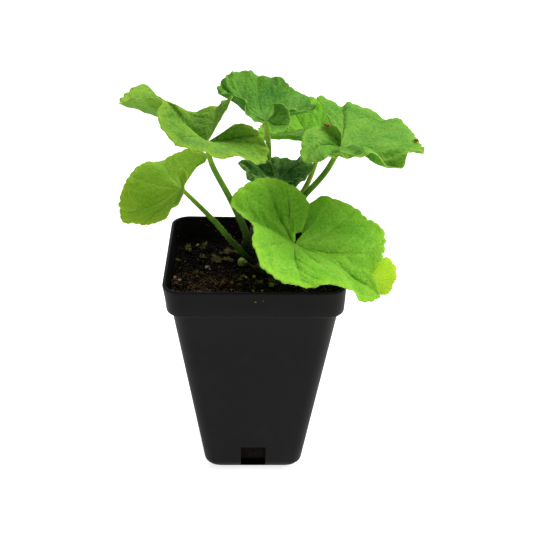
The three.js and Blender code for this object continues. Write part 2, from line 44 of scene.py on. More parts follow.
# Pot
POT_HEIGHT = 121.5
RIM_WIDTH = 90.0
BAND_FOOT = 106.9
BODY_TOP_WIDTH = 83.4
BODY_FOOT_WIDTH = 51.2
RIM_CORNER = 10.0
FOOT_CORNER = 6.0
FOOT_ROUNDING = 7.0
POT_WALL = 1.5
POT_FLOOR = 2.2
BAND_WALL = 2.6
LIP_WIDTH = 1.7
NOTCH_HALF = 6.7
NOTCH_SILL = 3.0
NOTCH_TOP = 17.3
LEAN_START = 112.0
LEAN_RISE = 9.0
CORNER_STEPS = 10

# Planting
SOIL_LEVEL = 111.0
SOIL_SLOPE = 0.04
# The mix is painted darker between these two depths, front to back, as painted shade under the leaves
BACK_SHADE_START = -14.0
BACK_SHADE_FULL = 8.0
STEM_RADIUS = 4.2
PETIOLE_RADIUS = 1.35
STEM_WAY = [(4.5, 1, 95), (3.6, 0.5, 109), (1.6, 0, 118), (0, -0.5, 125), (-0.6, -0.5, 130)]

# Loose bits on the mix: how far from the middle they lie, and how many there are
BED_REACH = 41
CRUMBS = 3200
FIBRES = 700
FINE_CHIPS = 300

# Blade: its margin, the valleys that its veins lie in, and the grid that carries it
BLADE_THICKNESS = 0.45
TOOTH_DEPTH = 1.3
TOOTH_SHARE = 0.045
SCALLOP_ROUNDNESS = 0.7
SINUS_OPENING = 0.02
MAIN_VEINS = 7
VALLEY_DEPTH = 1.7
VALLEY_WIDTH = 3.6
SIDE_VALLEY_DEPTH = 0.51
SIDE_VALLEY_WIDTH = 1.4
SIDE_VEIN_PITCH = 0.24
SIDE_VEIN_LEAN = 0.75
BLADE_ROWS = 36
FLAP_ROWS = 18
COLUMNS_PER_TOOTH = 8

# Hairs, and where the camera stood
MARGIN_HAIR_WIDTH = 0.045
STALK_HAIR_WIDTH = 0.03
STALK_HAIRS_PER_MM = 14
CAMERA_PLACE = (-8.45, -489.0, 360.26)
CAMERA_LENS = 70.35
CAMERA_PITCH, CAMERA_YAW, CAMERA_ROLL = 26.79, 1.72, 1.03

# Leaves: where the petiole meets the blade, where it starts on the stem (height and compass degrees), the
# points that it passes, and the margin as offsets from attach. A fourth value there is how far the blade
# arches up on its way to that point, or the place that it bends through. veins are shares of the way round.
LEAVES = {}
LEAVES["a"] = dict(
    attach=(-24.2, -6, 184.4), root=(120, 180), teeth=6,
    way=[(-4.4, -2.3, 132), (-12.6, -4.2, 153), (-22.3, -6, 174)],
    margin=[
        (13, 10, 20, (6.7, 4.4, 10.2)), (3, 20, 12.7), (-7, 22, 7.6, -1), (-16, 25, 10.5, -2),
        (-25.5, 30, 14.4, -2), (-32, 27, 20.5, -1), (-38, 19, 21), (-42.7, 6, 19), (-31, -6, 24),
        (-20, -9, 25, 1), (-22.8, -20, 19.8, 2), (-17.6, -28, 14, 3), (-9, -32, 9, 3), (1, -33, 6.5, 3),
        (9, -31, 3, 3), (15, -27.5, 3.3, 3), (21, -24, 0.6, 3), (28, -17, -4, 3), (30, -8, 0, 2),
        (24, -6, 9, 1), (18, -4, 11), (13, -2, 10),
    ],
)
LEAVES["b"] = dict(
    attach=(-37.4, 2, 156.1), root=(115, 205), teeth=5, fold=0.5, ruffle=0.3, tooth=0.55,
    way=[(-12, -1, 128.3), (-20.4, 0, 138.5)],
    margin=[
        (11.3, 18, 7.5, (3.6, 9.5, 6.7)), (12, 21, 11, 1), (6, 23, 14, 1), (-3.2, 24, 10.8, 1),
        (-13.3, 23, 6.2, 2), (-20, 20, 6.9, 2), (-26, 16, 4.5, 2), (-29.4, 11, 0.5, 2), (-31.9, 6, -4.8, 2),
        (-32.8, 1, -10.2, 2), (-30.5, -4, -16.7, 2), (-24, -9, -15.3, 2), (-17, -14, -13.6, 2),
        (-8.7, -18, -9.4, 1), (-5.4, -18, -3.5, 1), (-0.8, -14, -2.2), (1, -9, 2), (2.1, -3, 6.2),
        (1.9, 0, 9), (0.3, 1.5, 10.5), (-2.5, 0.5, 10),
    ],
)
LEAVES["c"] = dict(
    attach=(5.1, 14, 188.6), root=(119, 119), teeth=6, ruffle=0.9, edge_fold=0.6,
    veins=[0.06, 0.2, 0.36, 0.475, 0.56, 0.645, 0.76, 0.9],
    way=[(-0.5, 8, 130), (3.5, 14, 149), (6.8, 18, 168)],
    margin=[
        (3, -11, -1), (7, -10, -2), (10, -8, 0), (12, -4, 3), (11.5, 0, 5.5), (8, 2, 8.5), (4, 3.5, 8),
        (7, 6, 6.5), (12, 7, 4), (18, 8, 3), (23, 10, 3), (26, 14, 3.5), (20.7, 24, 6.8, -1),
        (14.2, 28, 9.6, -2), (7.5, 29, 14.5, -2), (-1, 29, 14.8, -2), (-8, 28, 18, -2), (-16, 25, 18.6, -2),
        (-21.5, 21, 16.7, -1), (-25.2, 16, 11.3), (-21.5, 11, 11.4), (-16, 4, 11.4, -1), (-9.2, -1, 10, -2),
        (-10.5, -6, 5.9), (-8.3, -10, 4.9), (-4, -11, 3.5), (-1, -12, 1),
    ],
)
LEAVES["d"] = dict(
    attach=(36.3, 42, 165.7), root=(118, 62), teeth=6,
    way=[(13.2, 14, 132.5), (27.2, 26.5, 147.6)],
    margin=[
        (14, 15, 0), (16, 25, 3), (10.7, 33, 10.7), (1, 36, 15.5), (-11, 35, 15), (-24, 27, 11), (-34, 14, 5),
        (-33, 1, 4.5, 1), (-26, -10, 10.2, 2), (-18, -16, 13.8, 2), (-9, -18, 14.5, 2), (0, -17, 13, 2),
        (7, -12, 10, 1),
    ],
)
LEAVES["e"] = dict(
    attach=(41.3, -5, 181.4), root=(121, 20), teeth=6, ruffle=0.9,
    way=[(12.8, 6.5, 136.1), (25.3, 7.5, 150.6), (34.8, 3, 164.6)],
    margin=[
        (1, 2, 7.5, (1, 1, 4)), (-2, 7, 9), (-7, 12, 8), (-12, 14, 6.5, 1), (-16.5, 11, 4.5, 2),
        (-19.7, -2, 1.5, 2), (-19.4, -11, -1.5, 2), (-11, -24, 2.9, 2), (-3, -31, 8.5, 2), (5, -34, 8, 2),
        (10, -32, 10.6, 3), (15, -28, 7.1, 3), (18.3, -24.5, 1.9, 3), (22.5, -22, -1.5, 1),
        (28.5, -20, -1, 1), (32, -15, 4.4, 1), (40.2, -8, 1.4, 2), (41.5, 6, 0.7, 2), (38.7, 20, 3.2, 2),
        (32.8, 32, 6, 2), (27, 34.5, 3, 2), (20, 37, 6.4, 2), (14.5, 38, 8.4, 2), (9, 39, 12, 2),
        (1, 37, 11.1, 1), (-4, 35.7, 14.2, 1), (-8, 34, 15.6), (-10, 32, 15.6, (0, 13, 6)),
    ],
)
LEAVES["f"] = dict(
    attach=(11.2, 10, 157.6), root=(125, 45), teeth=4, fold=2.2, edge_fold=0.35, crumple=4.5, ruffle=2.0,
    veins=[0.1, 0.19, 0.27, 0.36, 0.5, 0.64, 0.78, 0.9],
    way=[(7, 7.5, 141)],
    margin=[
        (-3, 4, 9.5, (-1.5, 2, 4)), (-7, 5, 9), (-11, 4, 10), (-19.6, 2, 10), (-17.5, -2, 7.5),
        (-13.8, -6, 5.6, 1), (-8, -9, 6.4, 1), (-1, -9, 3, 1), (5, -8, 0.6, 1), (10.5, -5, -0.5, 1),
        (12.8, -2, 2.2, 1), (17, 1, 4), (19, 4, 8), (13, 7, 12), (7, 8, 9.2), (1, 8.5, 10.5), (-5, 8.5, 9),
    ],
)
LEAVES["g"] = dict(
    attach=(19.4, -24, 137.9), root=(116, 318), teeth=8, fold=1.4, edge_fold=0.25,
    veins=[0.11, 0.155, 0.24, 0.375, 0.49, 0.57, 0.755, 0.865],
    way=[(12, -14, 126.5)],
    margin=[
        (3.8, 8, 2.9, (-5, 4.5, 1.5)), (5.2, 11.5, 5.4, (-5, 6, 3)), (6.7, 16, 8.4, (-5, 7, 5.5)),
        (8, 20, 12, (-5, 8.5, 8)), (6.5, 22, 15.3, (-4.7, 10, 9.5)), (1.5, 24, 19.7, (-4.5, 11, 11.5)),
        (-6, 24, 24, -1), (-12, 23, 26.4, -1), (-18.4, 22, 26, -1), (-28.5, 16, 22.6), (-31.9, 11, 18),
        (-29.7, 6, 17.2), (-25, -1, 15), (-21, -8, 15, 1), (-21, -16, 14, 1), (-21, -23, 11, 2),
        (-17, -32, 4, 2), (-11, -36, 0, 2), (-5, -38, -2, 2), (9, -37, -4, 2), (16, -34, -4, 2),
        (22, -32, -7.5, 3), (28.7, -29, -11.6, 4), (31.5, -26, -18, 5), (38, -22, -20, 4),
        (41.6, -18, -19.5, 3), (40, -17, -15, 2.5), (39, -13, -10.5, 1.5), (38, -10, -10, 1), (41, -7, -8, 1),
        (44, -3, -5, 1), (46.2, 7, 1, 1), (44, 12, 4), (38.6, 17, 5.8), (32.2, 21, 11), (24, 24, 13.4),
        (16, 26, 15, (12, 11, 7)), (10.6, 27, 12, (10.5, 10, 5.5)), (-2, 26, 3, (8, 5, 0)),
    ],
    flap=dict(
        attach=(54, -39.7, 125.7), teeth=1, tooth=1.6, fold=0.1, ruffle=0.3,
        margin=[
            (6.5, 6.7, -11.2), (9.7, 7.2, -11.7), (13.2, 8.7, -11.4), (15.4, 10.7, -7.6), (17.2, 13.7, -3.2),
            (16.7, 17.7, 0.4), (12.4, 20.7, 3.3), (8.5, 19.2, 1.9), (4.6, 17.7, 1.5), (1, 11.7, 0),
        ],
    ),
)


# Small makers


def linear(colour):
    """A colour written as sRGB hex, turned to the linear values that shaders take."""
    channels = [int(colour[i : i + 2], 16) / 255 for i in (0, 2, 4)]
    return [c / 12.92 if c <= 0.04045 else ((c + 0.055) / 1.055) ** 2.4 for c in channels] + [1.0]


def node(tree, kind, links=None, **settings):
    """Adds a shader node. settings are its properties, links its inputs: values or other nodes' outputs."""
    made = tree.nodes.new("ShaderNode" + kind)
    for name, value in settings.items():
        setattr(made, name, value)
    for name, value in (links or {}).items():
        socket = made.inputs[name]
        if isinstance(value, bpy.types.NodeSocket):
            tree.links.new(value, socket)
        else:
            socket.default_value = value
    return made


def new_material(name):
    material = bpy.data.materials.new(name)
    material.use_nodes = True
    material.node_tree.nodes.clear()
    return material, material.node_tree


def maths(tree, operation, a, b=0.0, clamp=False):
    return node(tree, "Math", {0: a, 1: b}, operation=operation, use_clamp=clamp).outputs[0]


def clouds(tree, here, scale, detail=2.0, roughness=0.5):
    """A soft random pattern. scale is how many of its patches lie along a metre."""
    links = {"Vector": here, "Scale": scale, "Detail": detail, "Roughness": roughness}
    return node(tree, "TexNoise", links).outputs["Fac"]


def ranged(tree, value, low, high, start=0.0, end=1.0):
    """Start where the value is at low, end where it is at high, and even in between."""
    links = {"Value": value, "From Min": low, "From Max": high, "To Min": start, "To Max": end}
    return node(tree, "MapRange", links).outputs["Result"]


def blend(tree, share, first, second):
    """The first colour where share is 0 and the second where it is 1. Each is hex or a node's output."""
    first, second = (linear(colour) if isinstance(colour, str) else colour for colour in (first, second))
    links = {"Factor": share, "A": first, "B": second}
    return node(tree, "Mix", links, data_type="RGBA").outputs["Result"]


def bumped(tree, height, strength, depth):
    links = {"Height": height, "Strength": strength, "Distance": depth}
    return node(tree, "Bump", links).outputs["Normal"]


def coat(tree, colour, roughness, shine, normal, more=None):
    """The surface that every material of the plant and pot starts from."""
    links = {"Base Color": colour, "Roughness": roughness, "Specular IOR Level": shine, "Normal": normal}
    return node(tree, "BsdfPrincipled", {**links, **(more or {})}).outputs["BSDF"]


def show(tree, shader):
    node(tree, "OutputMaterial", {"Surface": shader})


def net(bm, columns, rows, place):
    """Adds a grid whose corners run from 0 to 1 both ways, keeps those shares as its UV map, and moves each
    vertex to where place puts it, in millimetres. Seams and poles are closed."""
    uv = bm.loops.layers.uv.verify()
    made = bmesh.ops.create_grid(bm, x_segments=columns, y_segments=rows, size=0.5)["verts"]
    faces = {face for vert in made for face in vert.link_faces}
    for face in faces:
        for loop in face.loops:
            loop[uv].uv = (loop.vert.co.x + 0.5, loop.vert.co.y + 0.5)
    for vert in made:
        vert.co = Vector(place(vert.co.x + 0.5, vert.co.y + 0.5)) * MM
    bmesh.ops.remove_doubles(bm, verts=made, dist=1e-7)
    return faces


def finished_mesh(name, bm, materials=()):
    mesh = bpy.data.meshes.new(name)
    bm.to_mesh(mesh)
    bm.free()
    for material in materials:
        mesh.materials.append(material)
    return mesh


def placed(name, data):
    """An object in the scene that carries a mesh, a light or a camera."""
    made = bpy.data.objects.new(name, data)
    bpy.context.collection.objects.link(made)
    return made


def finish_piece(name, bm, materials, replaces=None, sharp=None, closed=True):
    """Turns the mesh into a piece of the object. Its edges stay crisp past the angle sharp, in degrees."""
    if closed:
        bmesh.ops.recalc_face_normals(bm, faces=bm.faces)
    mesh = finished_mesh(name, bm, materials)
    mesh.shade_smooth()
    if sharp:
        mesh.set_sharp_from_angle(angle=radians(sharp))
    piece = placed(name, mesh)
    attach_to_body(piece, "root")
    if replaces:
        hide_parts(replaces)
    return piece


def between(first, last, leaving, arriving, s):
    """The point at share s of a curve from first to last that leaves and arrives at the given slopes."""
    return (
        first * (1 + 2 * s) * (1 - s) ** 2 + leaving * s * (1 - s) ** 2
        + last * s * s * (3 - 2 * s) + arriving * s * s * (s - 1)
    )


def smooth_run(values, stations, shares):
    """Values at the given shares along a smooth line through the given ones."""
    last = len(values) - 1
    before = np.maximum(np.arange(last + 1) - 1, 0)
    after = np.minimum(np.arange(last + 1) + 1, last)
    slopes = (values[after] - values[before]) / (stations[after] - stations[before])[:, None]
    i = np.clip(np.searchsorted(stations, shares, side="right") - 1, 0, last - 1)
    width = (stations[i + 1] - stations[i])[..., None]
    s = (shares - stations[i])[..., None] / width
    return between(values[i], values[i + 1], slopes[i] * width, slopes[i + 1] * width, s)


def curve_points(points, count):
    """Evenly spaced points along a smooth curve through the given ones."""
    fine_steps = 40
    ends = [2 * points[0] - points[1], *points, 2 * points[-1] - points[-2]]
    fine = []
    for k in range(1, len(ends) - 2):
        p = ends[k - 1 : k + 3]
        gaps = [max((p[i + 1] - p[i]).length ** 0.5, 1e-4) for i in range(3)]
        slopes = []
        for i in range(2):
            here, ahead = (p[i + 1] - p[i]) / gaps[i], (p[i + 2] - p[i + 1]) / gaps[i + 1]
            slopes.append((here - (p[i + 2] - p[i]) / (gaps[i] + gaps[i + 1]) + ahead) * gaps[1])
        fine += [between(p[1], p[2], *slopes, step / fine_steps) for step in range(fine_steps)]
    fine.append(points[-1].copy())
    lengths = [0.0]
    for a, b in zip(fine, fine[1:]):
        lengths.append(lengths[-1] + (b - a).length)
    spaced = []
    k = 0
    for i in range(count + 1):
        target = lengths[-1] * i / count
        while k < len(fine) - 2 and lengths[k + 1] < target:
            k += 1
        share = (target - lengths[k]) / max(lengths[k + 1] - lengths[k], 1e-9)
        spaced.append(fine[k].lerp(fine[k + 1], share))
    return spaced


def rod(bm, points, sides, radius_at, swell=None):
    """A round rod along the points, pointed at both ends. Returns its two sideways axes at each point."""
    count = len(points) - 1
    tangents = [(points[min(i + 1, count)] - points[max(i - 1, 0)]).normalized() for i in range(count + 1)]
    side = tangents[0].orthogonal().normalized()
    frames = []
    for tangent in tangents:
        side = (side - tangent * side.dot(tangent)).normalized()
        frames.append((side.copy(), tangent.cross(side)))

    def place(u, v):
        i = round(v * count)
        share = i / count
        radius = 0.0 if i in (0, count) else radius_at(share)
        angle = 2 * pi * u
        if swell:
            radius *= swell(share, angle)
        a, b = frames[i]
        return points[i] + a * (radius * cos(angle)) + b * (radius * sin(angle))

    net(bm, sides, count, place)
    return frames


def strew(name, seed, places, material):
    """One piece made of a copy of the seed mesh at each place."""
    bm = bmesh.new()
    for place in places:
        seed.transform(place)
        bm.from_mesh(seed)
        seed.transform(place.inverted())
    finish_piece(name, bm, [material], closed=False)


def seed_mesh(make):
    """A mesh of its own that strew can copy."""
    bm = bmesh.new()
    make(bm)
    return finished_mesh("seed", bm)


def aimed(at, direction, length, width, turn=0.0):
    """Where a seed that stands one unit high along Z goes, in metres."""
    rotation = Vector(direction).to_track_quat("Z", "Y").to_matrix().to_4x4()
    size = Matrix.Diagonal((width * MM, width * MM, length * MM, 1))
    return Matrix.Translation(Vector(at) * MM) @ rotation @ Matrix.Rotation(turn, 4, "Z") @ size


# Materials


def black_polypropylene():
    """Injection-moulded black polypropylene: satin, with a faint orange-peel skin, grey where dust lies on
    it, greyer on the right side as a painted highlight, and brown flecks of peat near the rim."""
    material, tree = new_material("moulded_black_polypropylene")
    here = node(tree, "TexCoord").outputs["Object"]
    place = node(tree, "SeparateXYZ", {"Vector": here})
    dust = clouds(tree, here, 55.0, 6.0, 0.7)
    # The right side is painted greyer: a painted highlight of the right softbox, mixed into the dust
    painted_right_highlight = ranged(tree, place.outputs["X"], 0.026, 0.042)
    dust_and_painted_highlight = maths(tree, "ADD", ranged(tree, dust, 0.5, 0.8), painted_right_highlight, clamp=True)
    colour = blend(tree, dust_and_painted_highlight, "070707", "141211")
    # Flecks about 0.6 mm across, which are thick near the rim and few lower down
    cells = node(tree, "TexVoronoi", {"Vector": here, "Scale": 420.0})
    fleck = ranged(tree, cells.outputs["Distance"], 0.16, 0.24, 1.0, 0.0)
    bare = ranged(tree, place.outputs["Z"], 0.09, 0.122, 0.78, 0.58)
    dirty = maths(tree, "GREATER_THAN", clouds(tree, here, 38.0), bare)
    colour = blend(tree, maths(tree, "MULTIPLY", fleck, dirty), colour, "6b543c")
    rough = ranged(tree, dust, 0.0, 1.0, 0.42, 0.62)
    peel = bumped(tree, clouds(tree, here, 900.0), 0.06, 0.0002)
    show(tree, coat(tree, colour, rough, 0.1, peel, {"IOR": 1.49}))
    return material


def speckled(name, dark, mid, bright, grain, roughness=0.95, bump_height=0.0004, shine=0.25, painted_back_shade=0.0):
    """A rough natural crumbly surface in three colours; grain is the size of its patches in millimetres.
    The last argument sets how far it darkens to the back of the pot: painted shade, where the leaves shade
    the mix."""
    material, tree = new_material(name)
    here = node(tree, "TexCoord").outputs["Object"]
    coarse = clouds(tree, here, 1 / (grain * MM), 5.0, 0.65)
    fine = clouds(tree, here, 3.2 / (grain * MM), 3.0)
    colour = blend(tree, ranged(tree, coarse, 0.38, 0.62), dark, mid)
    colour = blend(tree, ranged(tree, fine, 0.6, 0.75), colour, bright)
    # Painted shade: the colour darkens from the front of the pot to the back, under the leaves
    if painted_back_shade:
        depth = node(tree, "SeparateXYZ", {"Vector": here}).outputs["Y"]
        back_shade = ranged(tree, depth, BACK_SHADE_START * MM, BACK_SHADE_FULL * MM, 0.0, painted_back_shade)
        colour = blend(tree, back_shade, colour, dark)
    show(tree, coat(tree, colour, roughness, shine, bumped(tree, fine, 0.6, bump_height)))
    return material


def leaf_tissue(name, face, deep, edge, vein, lobe_width, length, through=0.28, relief=1.0):
    """Living geranium leaf: matt, softly hairy green tissue that lets light through, with palmate veins that
    fork towards the margin and a net of fine veinlets. UV x runs round the blade and UV y out from the stalk.
    lobe_width is the breadth of a lobe at the margin and length the way out to it, in millimetres."""
    material, tree = new_material(name)
    coordinates = node(tree, "TexCoord")
    here = coordinates.outputs["Object"]
    polar = node(tree, "SeparateXYZ", {"Vector": coordinates.outputs["UV"]})

    def step(operation):
        return lambda a, b, clamp=False: maths(tree, operation, a, b, clamp)

    plus, less, times, over = step("ADD"), step("SUBTRACT"), step("MULTIPLY"), step("DIVIDE")

    def off_middle(count):
        """How far a count is from the nearest middle between two whole numbers."""
        return maths(tree, "ABSOLUTE", less(maths(tree, "FRACT", count), 0.5))

    # Veins wander by about a millimetre over a centimetre
    wander = clouds(tree, here, 110.0)
    off = less(wander, 0.5)
    round_share = plus(polar.outputs["X"], times(off, 0.022))
    out = plus(polar.outputs["Y"], times(off, 0.05))
    lobe = off_middle(times(round_share, MAIN_VEINS))
    # Main veins: 1.1 mm wide at the stalk, 0.3 mm at the margin
    aside = times(times(lobe, out), lobe_width)
    main = less(1.0, over(aside, less(1.15, times(out, 0.8))), clamp=True)
    # Side veins leave the main ones every 5 mm or so and lean outwards
    pitch = 5.2
    ladder = off_middle(over(less(out, times(lobe, SIDE_VEIN_LEAN)), pitch / length))
    side = less(1.0, over(times(ladder, pitch), 0.6), clamp=True)
    side = times(side, times(less(out, 0.15), 2.2, clamp=True))
    # Veinlets: a net of cells about 1.8 mm across
    cells = node(tree, "TexVoronoi", {"Vector": here, "Scale": 550.0}, feature="DISTANCE_TO_EDGE")
    mesh = less(1.0, over(cells.outputs["Distance"], 0.12), clamp=True)
    # The tissue puckers between the veinlets, in a grain about 1.3 mm across
    grain = clouds(tree, here, 760.0)

    mottle = plus(clouds(tree, here, 60.0, 4.0, 0.6), times(less(grain, 0.5), 0.8))
    colour = blend(tree, ranged(tree, mottle, 0.32, 0.7), deep, face)
    # Towards the margin the colour turns to edge, a painted highlight of light through the thin margin
    colour = blend(tree, ranged(tree, out, 0.82, 1.0, 0.0, 0.45), colour, edge)
    veins = plus(plus(times(main, 0.3), times(side, 0.1)), times(mesh, 0.06), clamp=True)
    colour = blend(tree, veins, colour, vein)

    hollow = plus(plus(times(main, 0.55), times(side, 0.22)), times(mesh, 0.25))
    normal = bumped(tree, less(times(grain, 1.1), hollow), 0.75 * relief, 0.0004)
    roughness = ranged(tree, wander, 0.0, 1.0, 0.46, 0.64)
    skin = coat(tree, colour, roughness, 0.12, normal, {"Sheen Weight": 0.03, "Sheen Roughness": 0.4})
    glow = node(tree, "BsdfTranslucent", {"Color": colour, "Normal": normal}).outputs["BSDF"]
    show(tree, node(tree, "MixShader", {0: through, 1: skin, 2: glow}).outputs["Shader"])
    return material


def stalk_skin(name, green, shade, foot, tip):
    """Fleshy stalk: smooth green skin with faint lengthwise streaks, painted darker towards the foot as
    painted shade low in the plant and the pot, and turning yellower where it meets the blade. UV y runs along
    the stalk."""
    material, tree = new_material(name)
    coordinates = node(tree, "TexCoord")
    unrolled = coordinates.outputs["UV"]
    stretched = node(tree, "Mapping", {"Vector": unrolled, "Scale": (9.0, 2.0, 1.0)})
    streak = clouds(tree, stretched.outputs["Vector"], 1.6, 3.0)
    blotch = clouds(tree, coordinates.outputs["Object"], 160.0, 3.0)
    colour = blend(tree, ranged(tree, maths(tree, "ADD", streak, blotch), 0.75, 1.25), shade, green)
    way = node(tree, "SeparateXYZ", {"Vector": unrolled}).outputs["Y"]
    # The foot is painted near black: painted shade low in the pot
    colour = blend(tree, ranged(tree, way, 0.12, 0.5, 1.0, 0.0), colour, foot)
    colour = blend(tree, ranged(tree, way, 0.8, 1.0), colour, tip)
    show(tree, coat(tree, colour, 0.5, 0.12, bumped(tree, streak, 0.25, 0.0003), {
        "Subsurface Weight": 0.15, "Subsurface Radius": (0.0008, 0.0016, 0.0003),
    }))
    return material


plastic = black_polypropylene()
# Wet peat takes nearly all the light. Its crumbs and dry fibres show rust brown where the top has dried. All
# three are painted darker towards the back of the pot, as painted shade under the leaves.
peat = speckled("damp_sphagnum_peat", "050403", "0f0b09", "2a2018", 2.2, shine=0.06, painted_back_shade=0.7)
crumb_peat = speckled("peat_crumbs", "050403", "17110c", "86693f", 1.6, shine=0.06, painted_back_shade=0.85)
fibre = speckled("rusty_peat_fibre", "0a0705", "6e4e38", "cba888", 3.0, shine=0.1, painted_back_shade=0.85)
# Moss is a dull olive plush
moss = speckled("moss_shoots", "484424", "7e7848", "b0aa76", 2.0, shine=0.1)
# Old wood is pale and greyish
chip = speckled("weathered_wood_chips", "7a6854", "a39280", "c9bba6", 1.5)
# The beads' coat is smooth, with a green film of algae. Their colours are painted lighter than the coat's
# own, as painted light on beads that lie in the leaves' shadow
bead_painted_lighter = speckled("coated_feed_beads_painted_lighter", "566c2a", "80923e", "b8be6c", 1.2, roughness=0.6, shine=0.08)
# The seedling's skin is soft and a dull green
seedling = speckled("curled_seedling", "46602c", "6b8444", "9cab72", 1.6, roughness=0.6)
# Dead tissue is warm brown and dull
scrap = speckled("dry_brown_leaf_scraps", "5a2e1c", "8c5236", "b4805c", 0.8)
stalk_green = stalk_skin("geranium_stalk_skin", "5a8a14", "3a640a", "10180a", "88ac20")
stalk_yellow = stalk_skin("yellower_stalk_skin", "86a028", "64841c", "1a2410", "96b432")
crown_green = stalk_skin("geranium_crown_skin", "2a3a16", "16200e", "10160a", "34481a")
# Papery skin is tan and flat
dry_scale = speckled("dry_papery_stipules", "3b3320", "6d5f3a", "93855a", 1.2, roughness=0.8)
# Hairs are almost white, and give the edges a pale bloom
hair = speckled("pale_plant_hairs", "b9ad97", "cfc6b0", "e2dccb", 1.0, roughness=0.6, bump_height=0.00001)


# Leaves


def gentle_row(count, step, seed):
    """Numbers that change gently from one to the next, between about -0.7 and 0.7."""
    return np.array([noise.noise(Vector((i * step, seed, 0.5))) for i in range(count + 1)])


def vein_count(share, leaf):
    """How many lobes lie between the sinus and a share of the way round. A main vein halves each lobe."""
    places = leaf.get("veins")
    if places:
        return np.interp(share, [0, *places, 1], [0, *np.arange(0.5, len(places)), len(places)])
    seed = leaf["attach"][0]
    bend = 0.011 * np.sin(4 * pi * share + seed) + 0.007 * np.sin(6 * pi * share + 2 * seed)
    return MAIN_VEINS * (share + bend * np.sin(pi * share))


def unit(vectors):
    return vectors / np.maximum(np.linalg.norm(vectors, axis=-1, keepdims=True), 1e-9)


def bends(margin, points):
    """Where the way from the stalk to each point of the margin bends."""
    drawn = points.copy()
    for _ in range(3):
        drawn[1:-1] = 0.25 * (drawn[:-2] + drawn[2:]) + 0.5 * drawn[1:-1]
    last = len(points) - 1
    made = []
    for i, (_, _, _, *rest) in enumerate(margin):
        arch = rest[0] if rest else 0
        if isinstance(arch, tuple):
            made.append(np.array(arch, float))
        else:
            along = points[min(i + 1, last)] - points[max(i - 1, 0)]
            made.append(0.5 * drawn[i] + unit(np.cross(points[i], along)) * 2 * arch)
    return np.array(made)


def scallops(leaf, margin, along, round_share, out):
    """How far, and which way, the cuts between the teeth draw the grid in at its edge."""
    columns = len(margin) - 1
    inward = unit(-margin - along * (-margin * along).sum(-1, keepdims=True))
    reach = np.linalg.norm(margin, axis=-1)
    teeth = MAIN_VEINS * leaf["teeth"]
    seed = leaf["attach"][0]
    phase = teeth * round_share + 0.8 * gentle_row(columns, 0.55 * teeth / columns, seed)[:, None]
    scallop = np.abs(np.sin(pi * phase)) ** SCALLOP_ROUNDNESS
    fade = np.minimum(1, np.minimum(round_share, 1 - round_share) / 0.05)
    facing = -(inward * margin).sum(-1) / reach
    near_edge = np.clip((out - 0.86) / 0.14, 0, 1)
    strength = np.clip(0.9 + 1.1 * gentle_row(columns, 0.4 * teeth / columns, seed + 9), 0.3, 1.3)[:, None]
    depth = np.minimum(TOOTH_DEPTH, TOOTH_SHARE * reach) * leaf.get("tooth", 0.85)
    return inward * (depth * facing * fade * (1 - scallop) * near_edge * strength)[..., None]


def tissue_relief(leaf, round_share, out, reach, perimeter):
    """How high the tissue stands. Each main vein lies in a sharp valley and the tissue domes between; the
    side veins lean out from the main ones, in smaller valleys of their own; the margin is ruffled."""
    columns = len(out) - 1
    seed = leaf["attach"][0]
    fold, at_edge = leaf.get("fold", 1.0), leaf.get("edge_fold", 0.8)
    aside = np.abs(vein_count(round_share, leaf) % 1 - 0.5)
    away = aside / MAIN_VEINS * perimeter * out
    main = np.exp(-away / VALLEY_WIDTH) * np.minimum(1, 2.5 * out) * (1.5 - (1.5 - at_edge) * out)
    wobble = 0.6 * gentle_row(columns, 9.0 / columns, seed + 4)[:, None]
    chevron = (out - SIDE_VEIN_LEAN * aside) / SIDE_VEIN_PITCH + wobble
    beside = np.abs(chevron % 1 - 0.5) * SIDE_VEIN_PITCH * reach.mean()
    long_lobe = np.clip((reach - 16) / 14, 0, 1)
    side = np.exp(-beside / SIDE_VALLEY_WIDTH) * np.clip((out - 0.2) * 3, 0, 1) * long_lobe
    waves = 13 * round_share + gentle_row(columns, 8.0 / columns, seed + 2)[:, None] * 2
    ruffle = leaf.get("ruffle", 0.6) * np.sin(2 * pi * waves) * out ** 4
    return ruffle - fold * (VALLEY_DEPTH * main + SIDE_VALLEY_DEPTH * side)


def unevenness(leaf, surface, out):
    """Soft bulges at two sizes, which grow to the margin."""
    start = Vector(leaf["attach"]) * 3
    lift = np.zeros(out.shape)
    for i, j in np.ndindex(out.shape):
        place = Vector(surface[i, j]) + start
        small = 0.45 * noise.noise(place * 0.26) * out[i, j] ** 2
        lift[i, j] = out[i, j] * (0.7 * noise.noise(place * 0.11) + small)
    return leaf.get("crumple", 1.0) * lift


